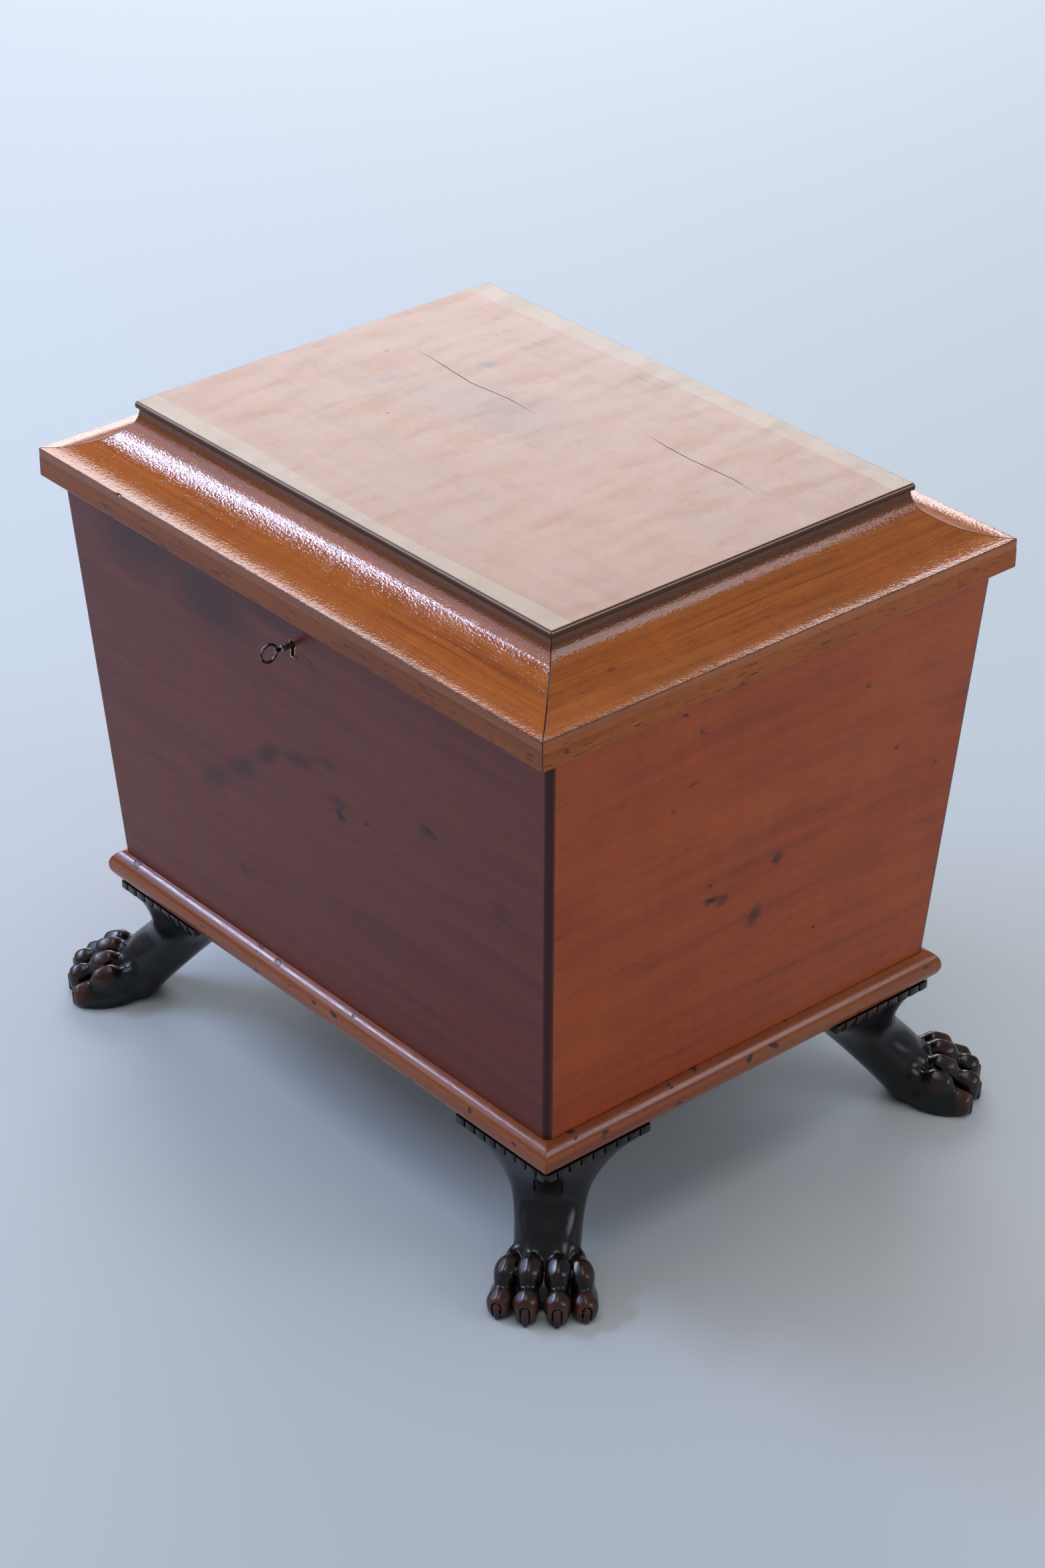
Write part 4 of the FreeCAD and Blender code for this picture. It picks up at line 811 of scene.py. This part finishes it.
# carved paw feet, sculpted in millimetres: u runs out through the chest's corner, v aside, z up
footShape = {
    "voxel": 0.8,
    "low": (-142, -86, -4),
    "high": (60, 86, 108),
    # height: front, back, half width and squareness of the leg there
    "sections": [
        (-30, 12, -10, 24, 2.2), (0, 12, -30, 25.5, 2.2), (24, 10, -52, 27, 2.2), (48, -6, -76, 28, 2.2),
        (64, -26.5, -92, 31.5, 2.15), (76, -29, -104, 39, 1.9), (88, -24, -120, 49.5, 1.5),
        (98, -15, -137, 63, 1.2), (106, -8, -152, 79, 1.04), (126, 10, -188, 115, 1.0),
    ],
    "sectionSoft": 5.5,
    # the flare under the block: how far inside the block's faces, from which height, slope and softness,
    # and how far the leg runs into the block
    "flare": (1.2, 76, 3, 3),
    "intoBlock": 1.5,
    # the forepart is carved in front of this u and below this height
    "forepart": (-42, 78),
    "paw": ((3, 0, 10), (25, 35, 17)),
    # a rounded flank between the outer toes and the heel
    "flank": ((-18, 18, 12), (6, 25, 14), (11, 12)),
    # middle of the back, knuckle, pad and sole of the inner and the outer toes
    "toes": [
        ((-4, 9.5, 32), (14.5, 11.6, 29), (37.3, 12.4, 14), (22, 11.8, 7)),
        ((-9, 25, 28), (10.5, 29.4, 25), (31, 34, 10.6), (14, 30.5, 6)),
    ],
    # in degrees: the knuckle's pitch, the lean of the ridge along a toe and the tilt of its two flats
    "pitch": 31,
    "ridgeLean": 20,
    "flatTilt": 30,
    "flatReach": 0.97,
    "flatSoft": 1.8,
    "back": (6.56, 8.2),
    "knuckle": (14.5, 10.8, 13.2),
    "waist": (7.8, 7.8),
    "pads": [(11.4, 11, 14), (10.2, 10.8, 11.8)],
    "soles": [(24, 10, 12), (25, 12.6, 14)],
    # what of a toe stands on the floor: height, set back and radii
    "tread": (5.5, 0.8, (10.6, 9.2, 8)),
    # claw: radii, gap round it, height over the pad's middle and set back of its top, the same of its tip
    "claw": (3.7, 2.6),
    "clawGap": 0.8,
    "clawTop": (1, 3.0),
    "clawTip": (2.4, 2.4),
    # how softly each form runs into the rest
    "soft": {"paw": 8, "flank": 6, "back": 4, "waist": 3, "sole": 3, "pad": 2.5, "tread": 2,
             "socket": 0.4, "toes": 1.0, "groove": 1.6},
    # toes and instep: softness in front, what the back adds, where it starts and over what length
    "instep": (2, 6, 12, 16),
    # gaps between the toes: radii along a path over back, knuckle and pad, with the path's rise there
    "groove": (0.7, 1.7, 1.7, 1.7),
    "grooveRise": [(0, 0, 17), (-2, 0, 6), (-8, 0, 5), (10, 0, -3)],
    # plain patch on the shin: back, half width, heights and depth
    "recess": (-40, 10.8, (70.5, 90), 0.7),
    # rubbing round the toes' tops: reach and fade, then what is rubbed anyway and what standing out adds
    "wear": (20, 8, 0.3, 0.45),
    # painted shade in the hollows: how far in it begins and over what depth it becomes whole
    "cavity": (0.25, 0.9),
    "corner": (289.5, -216.5),
    # size, low, high, tooth pitch and corner radius of the reeded block
    "capital": (112, 104, 112, 12.6, 6),
    # a tooth's flank, as distance from its edge and depth below its crown, and half the gap
    "tooth": ((0, 1.8), (0.2, 0.6), (1.2, 0.1)),
    "toothGap": 0.5,
    # the block's eased lower edge, as height over its low face and scale
    "blockEdge": ((0, 0.975), (0.4, 0.99), (1.2, 1.0)),
    "blockWear": 0.25,
}


def smoothUnion(a, b, blend):
    mix = np.clip(0.5 + 0.5 * (b - a) / blend, 0, 1)
    return b + (a - b) * mix - blend * mix * (1 - mix)


def carve(a, b, blend):
    # takes b out of a
    return -smoothUnion(-a, b, blend)


def capsule(p, start, end, startRadius, endRadius):
    start, end = np.array(start, np.float32), np.array(end, np.float32)
    line = end - start
    share = sum((p[i] - start[i]) * line[i] for i in range(3)) / float(line @ line)
    share = np.clip(share, 0, 1)
    away = np.sqrt(sum((p[i] - start[i] - share * line[i]) ** 2 for i in range(3)))
    return away - (startRadius + (endRadius - startRadius) * share)


def ellipsoid(p, centre, radii, axes):
    local = [sum((p[i] - centre[i]) * axis[i] for i in range(3)) for axis in axes]
    near = np.sqrt(sum((q / r) ** 2 for q, r in zip(local, radii)))
    slope = np.sqrt(sum((q / r ** 2) ** 2 for q, r in zip(local, radii)))
    return near * (near - 1) / np.maximum(slope, 1e-4)


def ridgedBall(p, centre, radii, axes, ridge, shape):
    # a rounded form with the two flats that a gouge leaves beside a soft ridge
    field = ellipsoid(p, centre, radii, axes)
    reach, tilt = radii[2] * shape["flatReach"], math.radians(shape["flatTilt"])
    for side in (-1, 1):
        slope = ridge * math.cos(tilt) + axes[1] * (side * math.sin(tilt))
        flat = sum((p[i] - centre[i]) * slope[i] for i in range(3)) - reach * math.cos(tilt)
        field = carve(field, -flat, shape["flatSoft"])
    return field


def legField(p, shape):
    heights = [s[0] for s in shape["sections"]]
    z = p[2][0, 0]
    # the sections are read finely, a little past both ends, and smoothed
    taps = 40
    fine = np.linspace(z[0] - 24, z[-1] + 16, 500)
    step = fine[1] - fine[0]
    kernel = np.exp(-0.5 * (np.arange(-taps, taps + 1) * step / shape["sectionSoft"]) ** 2)
    columns = []
    for column in range(1, 5):
        raw = np.interp(fine, heights, [s[column] for s in shape["sections"]])
        soft = np.convolve(np.pad(raw, taps, mode="edge"), kernel / kernel.sum(), "valid")
        columns.append(np.interp(z, fine, soft).astype(np.float32))
    front, back, half, square = columns
    middle = (front + back) / 2
    along = (p[0] - middle) / ((front - back) / 2)
    aside = p[1] / half
    ring = (np.abs(along) ** square + np.abs(aside) ** square + 1e-6) ** (1 / square)
    field = (ring - 1) * np.minimum((front - back) / 2, half)
    steep = np.sqrt(sum(g ** 2 for g in np.gradient(field)))
    return field / np.maximum(steep, 0.4)


def boxBlur(field, reach):
    # mean over a cube, twice, for how far the surface stands out of what is round it
    for axis in (0, 1, 2, 0, 1, 2):
        edges = [(reach + 1, reach) if k == axis else (0, 0) for k in range(3)]
        total = np.cumsum(np.pad(field, edges, mode="edge"), axis=axis, dtype=np.float64)
        field = (np.take(total, range(2 * reach + 1, total.shape[axis]), axis)
                 - np.take(total, range(0, total.shape[axis] - 2 * reach - 1), axis)) / (2 * reach + 1)
    return field


def readGrid(field, spots):
    # values of a grid between its points
    low = np.clip(np.floor(spots).astype(int), 0, np.array(field.shape) - 2)
    share = spots - low
    value = 0
    for corner in np.ndindex(2, 2, 2):
        weight = np.prod(np.where(corner, share, 1 - share), axis=1)
        value = value + weight * field[tuple((low + corner).T)]
    return value


def skinOf(field):
    # the surface where a field is zero, as points of its grid and faces whose normals point out
    grid = openvdb.FloatGrid(10.0)
    grid.copyFromArray(np.ascontiguousarray(field, dtype=np.float32))
    spots, quads = grid.convertToQuads(0.0)
    a, b, c = (spots[quads[:, k]].astype(np.float64) for k in range(3))
    if np.einsum("ij,ij->", a, np.cross(b, c)) < 0:
        quads = quads[:, ::-1]
    return spots, quads


def carvedToe(near, places, padRadii, soleRadii, shape):
    # one toe with its claw, from the middle of its back, its knuckle, its pad and its sole
    back, knuckle, pad, sole = places
    soft, up = shape["soft"], Vector((0, 0, 1))
    turn = math.atan2(pad.y - knuckle.y, pad.x - knuckle.x)
    level = Vector((math.cos(turn), math.sin(turn), 0))
    aside = Vector((-math.sin(turn), math.cos(turn), 0))
    pitch, lean = math.radians(shape["pitch"]), math.radians(shape["ridgeLean"])
    ahead = level * math.cos(pitch) - Vector((0, 0, math.sin(pitch)))
    ridge = up * math.cos(lean) + level * math.sin(lean)
    upright = (level, aside, up)
    pitched = (ahead, aside, ahead.cross(aside))

    toe = ridgedBall(near, knuckle, shape["knuckle"], pitched, ridge, shape)
    toe = smoothUnion(toe, capsule(near, back, knuckle, *shape["back"]), soft["back"])
    toe = smoothUnion(toe, capsule(near, knuckle, pad, *shape["waist"]), soft["waist"])
    toe = smoothUnion(toe, ellipsoid(near, sole, soleRadii, upright), soft["sole"])
    toe = smoothUnion(toe, ridgedBall(near, pad, padRadii, upright, ridge, shape), soft["pad"])
    height, setBack, radii = shape["tread"]
    tread = Vector((pad.x, pad.y, height)) - level * setBack
    toe = smoothUnion(toe, ellipsoid(near, tread, radii, upright), soft["tread"])

    # the claw lies in a socket with a narrow gap round it
    face = pad + level * padRadii[0]
    (over, topBack), (tipHeight, tipBack) = shape["clawTop"], shape["clawTip"]
    top = Vector((face.x, face.y, pad.z + over)) - level * topBack
    tip = Vector((face.x, face.y, tipHeight)) - level * tipBack
    wide, thin = shape["claw"]
    gap = shape["clawGap"]
    toe = carve(toe, capsule(near, top, tip, wide + gap, thin + gap), soft["socket"])
    return np.minimum(toe, capsule(near, top, tip, wide, thin))


def carvedPaw(field, near, shape):
    # the paw's forepart on a part of the leg: instep, flanks, four toes and the gaps between them
    soft = shape["soft"]
    straight = (Vector((1, 0, 0)), Vector((0, 1, 0)), Vector((0, 0, 1)))
    paw = smoothUnion(field, ellipsoid(near, *shape["paw"], straight), soft["paw"])
    toes = []
    for side in (-1, 1):
        start, end, radii = shape["flank"]
        start, end = ((u, side * v, z) for u, v, z in (start, end))
        paw = smoothUnion(paw, capsule(near, start, end, *radii), soft["flank"])
        for places, padRadii, soleRadii in zip(shape["toes"], shape["pads"], shape["soles"]):
            places = [Vector((u, side * v, z)) for u, v, z in places]
            toes.append((places[2].y, places, carvedToe(near, places, padRadii, soleRadii, shape)))
    toes.sort()
    toeSet = toes[0][2]
    for toe in toes[1:]:
        toeSet = smoothUnion(toeSet, toe[2], soft["toes"])
    # the toes grow out of the instep softly at the back and stand clear of the paw in front
    clear, more, start, length = shape["instep"]
    paw = smoothUnion(paw, toeSet, clear + more * np.clip((start - near[0]) / length, 0, 1))
    allPlaces = [places for _, places, _ in toes]
    for here, there in zip(allPlaces, allPlaces[1:]):
        back, knuckle, pad = ((here[k] + there[k]) / 2 for k in range(3))
        path = [at + Vector(rise) for at, rise in zip((back, knuckle, pad, pad), shape["grooveRise"])]
        for k in range(3):
            groove = capsule(near, path[k], path[k + 1], *shape["groove"][k:k + 2])
            paw = carve(paw, groove, soft["groove"])
    return paw, allPlaces


def carvedFoot(shape):
    voxel = shape["voxel"]
    axesMm = [np.arange(low, high, voxel, np.float32) for low, high in zip(shape["low"], shape["high"])]
    p = np.meshgrid(*axesMm, indexing="ij")
    field = legField(p, shape)
    # the flare stops short of the block's faces above it
    short, start, slope, soft = shape["flare"]
    diagonal = shape["capital"][0] * math.sqrt(0.5)
    block = (np.abs(p[1]) + np.abs(p[0] + diagonal) - diagonal) * math.sqrt(0.5) + short
    block = block - np.maximum(start - p[2], 0) * slope
    field = carve(field, -block, soft)

    # the paw's forepart is carved in a box of its own, in front of the heel
    heel, ankle = shape["forepart"]
    first = int((heel - shape["low"][0]) / voxel)
    stop = int((ankle - shape["low"][2]) / voxel)
    near = [axis[first:, :, :stop] for axis in p]
    field[first:, :, :stop], toePlaces = carvedPaw(field[first:, :, :stop], near, shape)

    # a plain patch on the shin, let in a little
    back, half, (low, high), depth = shape["recess"]
    patch = (p[0] > back) & (np.abs(p[1]) < half) & (p[2] > low) & (p[2] < high)
    field = np.where(patch, field + depth, field)
    # flat on the floor below, and a little way into the block above
    field = np.maximum(field, -p[2])
    field = np.maximum(field, p[2] - shape["capital"][1] - shape["intoBlock"])
    spots, quads = skinOf(field)
    verts = spots * voxel + np.array(shape["low"])

    # what stands out is rubbed; what lies in gets a painted shade, darker than the black
    stand = readGrid(boxBlur(np.clip(field, -4, 4), 2), spots)
    tops = [np.array(places[k]) for places in toePlaces for k in (2, 1)]
    toeTops = np.min([np.linalg.norm(verts - top, axis=1) for top in tops], axis=0)
    reach, fade, anyway, added = shape["wear"]
    least, span = shape["cavity"]
    rim = 0.5
    recess = (np.abs(verts[:, 1]) < half - rim) & (verts[:, 2] > low + rim) & (verts[:, 2] < high - rim)
    marks = {
        "cavity": np.clip((-stand - least) / span, 0, 1),
        "wear": np.clip((reach - toeTops) / fade, 0, 1) * np.clip(anyway + added * stand, 0, 1),
        "recess": (recess & (verts[:, 0] > back)).astype(float),
    }
    return verts, quads, marks


def reededCapital(shape):
    # the block over the leg: blunt teeth with narrow gaps on its two outer faces, set out from the corner
    size, low, high, pitch, corner = shape["capital"]
    gap, flank = shape["toothGap"], shape["tooth"]
    outline = []
    for number in range(int(size / pitch) + 1):
        first, last = max(number * pitch + gap, corner), min((number + 1) * pitch - gap, size)
        crown = [((first + last) / 2, 0.0)] + [(last - at, sunk) for at, sunk in reversed(flank)]
        outline += crown if number == 0 else [(first + at, sunk) for at, sunk in flank] + crown
    arc = [(-corner + corner * math.sin(t), corner - corner * math.cos(t))
           for t in (math.radians(d) for d in range(0, 91, 15))]
    # one face runs along -x from the corner, the other along +y
    plan = [(-at, sunk) for at, sunk in reversed(outline)] + arc
    plan += [(-sunk, at) for at, sunk in outline] + [(-size, size)]
    levels = [(low + rise, scale) for rise, scale in shape["blockEdge"]] + [(high, 1.0)]
    verts, depth = [], []
    for z, scale in levels:
        for x, y in plan:
            verts.append((-size / 2 + (x + size / 2) * scale, size / 2 + (y - size / 2) * scale, z))
            depth.append(1.0 if 1.5 < min(-x, y) < 2 else 0.0)  # the bottoms of the gaps, which get the painted shade of the hollows
    count, top = len(plan), len(levels) - 1
    faces = [list(range(count))[::-1], list(range(top * count, (top + 1) * count))]
    for level in range(top):
        for k in range(count):
            a, b = level * count + k, level * count + (k + 1) % count
            faces.append([a, b, b + count, a + count])
    return np.array(verts), faces, np.array(depth)


def buildFoot(name, flipX, flipY, leg, capital, shape):
    verts, quads, marks = leg
    blockVerts, blockFaces, blockDepth = capital
    cornerX, cornerY = shape["corner"]
    turn = math.sqrt(0.5)
    x = np.concatenate([(verts[:, 0] + verts[:, 1]) * turn, blockVerts[:, 0]]) + cornerX
    y = np.concatenate([(verts[:, 1] - verts[:, 0]) * turn, blockVerts[:, 1]]) + cornerY
    z = np.concatenate([verts[:, 2], blockVerts[:, 2]])
    faces = quads.tolist() + [[k + len(verts) for k in face] for face in blockFaces]
    if flipX * flipY < 0:
        faces = [face[::-1] for face in faces]
    mesh = bpy.data.meshes.new(f"{name}_carved")
    mesh.from_pydata((np.stack([x * flipX, y * flipY, z], 1) * mm).tolist(), [], faces)
    worn = shape["blockWear"]
    blockMarks = {"cavity": blockDepth, "wear": worn - worn * blockDepth, "recess": 0 * blockDepth}
    for key, values in marks.items():
        layer = mesh.attributes.new(key, "FLOAT", "POINT")
        layer.data.foreach_set("value", np.concatenate([values, blockMarks[key]]).astype(np.float32))
    smoothFaces(mesh)
    return addPiece(f"{name}_carved", mesh, ebony, "carcase", "ebonised_wood", name)


footLeg = carvedFoot(footShape)
footBlock = reededCapital(footShape)
for flipY, end in ((1, "front"), (-1, "back")):
    for flipX, side in ((1, "right"), (-1, "left")):
        buildFoot(f"foot_{end}_{side}", flipX, flipY, footLeg, footBlock, footShape)
print("feet carved:", len(footLeg[0]), "points each")


# the key, forged and filed: a ring bow that runs into its neck, a turned bead and a pipe shank
keyShape = {
    "voxel": 0.22,
    # room to carve in: half width, ahead of the bow, behind the tip, below and above the axis
    "room": (4.5, 10.5, 1.5, 12, 10.5),
    "height": 475.0,
    "bowAt": -255.1,
    "bowRadius": 7.6,
    "wire": 1.2,
    "neck": (-247.8, -243.4, 1.55, 1.7),
    # place, half length and radius of the two turned swellings
    "bead": (-242.0, 2.0, 3.25),
    "ring": (-239.3, 0.7, 2.9),
    "shank": 2.5,
    "bitThick": 1.3,
    "bitReach": 10.0,
    "bore": 1.3,
    "soft": {"neck": 2.2, "shank": 0.6, "bead": 0.4, "bit": 0.3, "bore": 0.2},
}


def forgedKey(shape):
    # the tip and the bit's front edge are taken from the solid key
    places = np.array([v.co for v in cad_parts["key"].data.vertices]) / mm
    tip = places[:, 1].max()
    bitFront = places[places[:, 2] < shape["height"] - 0.9 * shape["bitReach"]][:, 1].min()
    voxel, soft = shape["voxel"], shape["soft"]
    half, ahead, behind, below, above = shape["room"]
    low = np.array((-half, shape["bowAt"] - ahead, shape["height"] - below))
    high = np.array((half, tip + behind, shape["height"] + above))
    p = np.meshgrid(*[np.arange(a, b, voxel, np.float32) for a, b in zip(low, high)], indexing="ij")
    x, y, z = p[0], p[1], p[2] - shape["height"]
    fromRing = np.sqrt((y - shape["bowAt"]) ** 2 + z ** 2) - shape["bowRadius"]
    bow = np.sqrt(x ** 2 + fromRing ** 2) - shape["wire"]
    neckStart, neckEnd, thin, thick = shape["neck"]
    neck = capsule((x, y, z), (0, neckStart, 0), (0, neckEnd, 0), thin, thick)
    solid = smoothUnion(bow, neck, soft["neck"])
    fromAxis = np.sqrt(x ** 2 + z ** 2)
    shank = np.maximum(fromAxis - shape["shank"], np.maximum(shape["bead"][0] - y, y - tip))
    solid = smoothUnion(solid, shank, soft["shank"])
    for at, length, radius in (shape["bead"], shape["ring"]):
        bead = (np.sqrt(((y - at) / length) ** 2 + (fromAxis / radius) ** 2) - 1) * length
        solid = smoothUnion(solid, bead, soft["bead"])
    bit = np.maximum(np.abs(x) - shape["bitThick"], np.abs(y - (bitFront + tip) / 2) - (tip - bitFront) / 2)
    bit = np.maximum(bit, np.maximum(z, -z - shape["bitReach"]))
    solid = smoothUnion(solid, bit, soft["bit"])
    hole = np.maximum(fromAxis - shape["bore"], bitFront - 1 - y)
    solid = carve(solid, hole, soft["bore"])
    spots, quads = skinOf(solid)
    mesh = bpy.data.meshes.new("key_forged")
    mesh.from_pydata(((spots * voxel + low) * mm).tolist(), [], quads.tolist())
    smoothFaces(mesh)
    return addPiece("key_forged", mesh, metals["key_iron"], "key", "key_iron", "key")


forgedKey(keyShape)
print("key forged")


# plain pale floor and soft studio light
studio = {
    "floor": "c1c9cf",
    "floorSize": 70,
    "floorDrop": 0.0005,
    "floorRoughness": 0.75,
    "floorSpecular": 0.2,
    "fill": "e9eff6",
    "fillStrength": 0.34,
    "panels": [
        # name, place, aim, width, height, watts, colour
        ("back_left_window", (-3.4, 2.6, 2.3), (0, 0, 0.5), 3.0, 2.0, 102, "f6f8ff"),
        ("front_left_window", (-1.75, -1.2, 1.32), (0, -0.2, 0.4), 1.9, 1.0, 13, "c6d8ff"),
        ("front_left_sky", (-3.0, -1.6, 3.0), (0, -0.2, 0.4), 1.7, 0.3, 62, "c2d4ff"),
        ("right_window", (2.3, 1.4, 1.5), (0.2, 0, 0.3), 1.2, 1.0, 12, "eef2ff"),
    ],
    # even light from above: strength, spread in degrees, colour
    "above": (0.95, 42, "fffaf4"),
}


def layStudio(look):
    bpy.ops.mesh.primitive_plane_add(size=look["floorSize"], location=(0, 0, -look["floorDrop"]))
    floor = bpy.context.object
    floor.name = "studio_floor"
    # Pale grey paint, rolled on and left matt: one even tone with hardly a reflection
    material, _, shader = newMaterial("floor_pale_matt")
    shader.inputs["Base Color"].default_value = hexColor(look["floor"])
    shader.inputs["Roughness"].default_value = look["floorRoughness"]
    shader.inputs["Specular IOR Level"].default_value = look["floorSpecular"]
    floor.data.materials.append(material)
    world = bpy.data.worlds.new("soft_room")
    world.use_nodes = True
    sky = world.node_tree.nodes["Background"]
    sky.inputs["Color"].default_value = hexColor(look["fill"])
    sky.inputs["Strength"].default_value = look["fillStrength"]
    scene.world = world
    strength, spread, color = look["above"]
    data = bpy.data.lights.new("even_light_above", "SUN")
    data.energy, data.angle = strength, math.radians(spread)
    data.color = hexColor(color)[:3]
    scene.collection.objects.link(bpy.data.objects.new("even_light_above", data))
    for name, place, aim, width, height, watts, color in look["panels"]:
        data = bpy.data.lights.new(name, "AREA")
        data.shape = "RECTANGLE"
        data.size, data.size_y = width, height
        data.energy = watts
        data.color = hexColor(color)[:3]
        lamp = bpy.data.objects.new(name, data)
        lamp.location = place
        lamp.visible_camera = False
        lamp.rotation_euler = (Vector(aim) - Vector(place)).to_track_quat("-Z", "Y").to_euler()
        scene.collection.objects.link(lamp)


layStudio(studio)
scene.view_settings.view_transform = "Standard"
print("studio set")
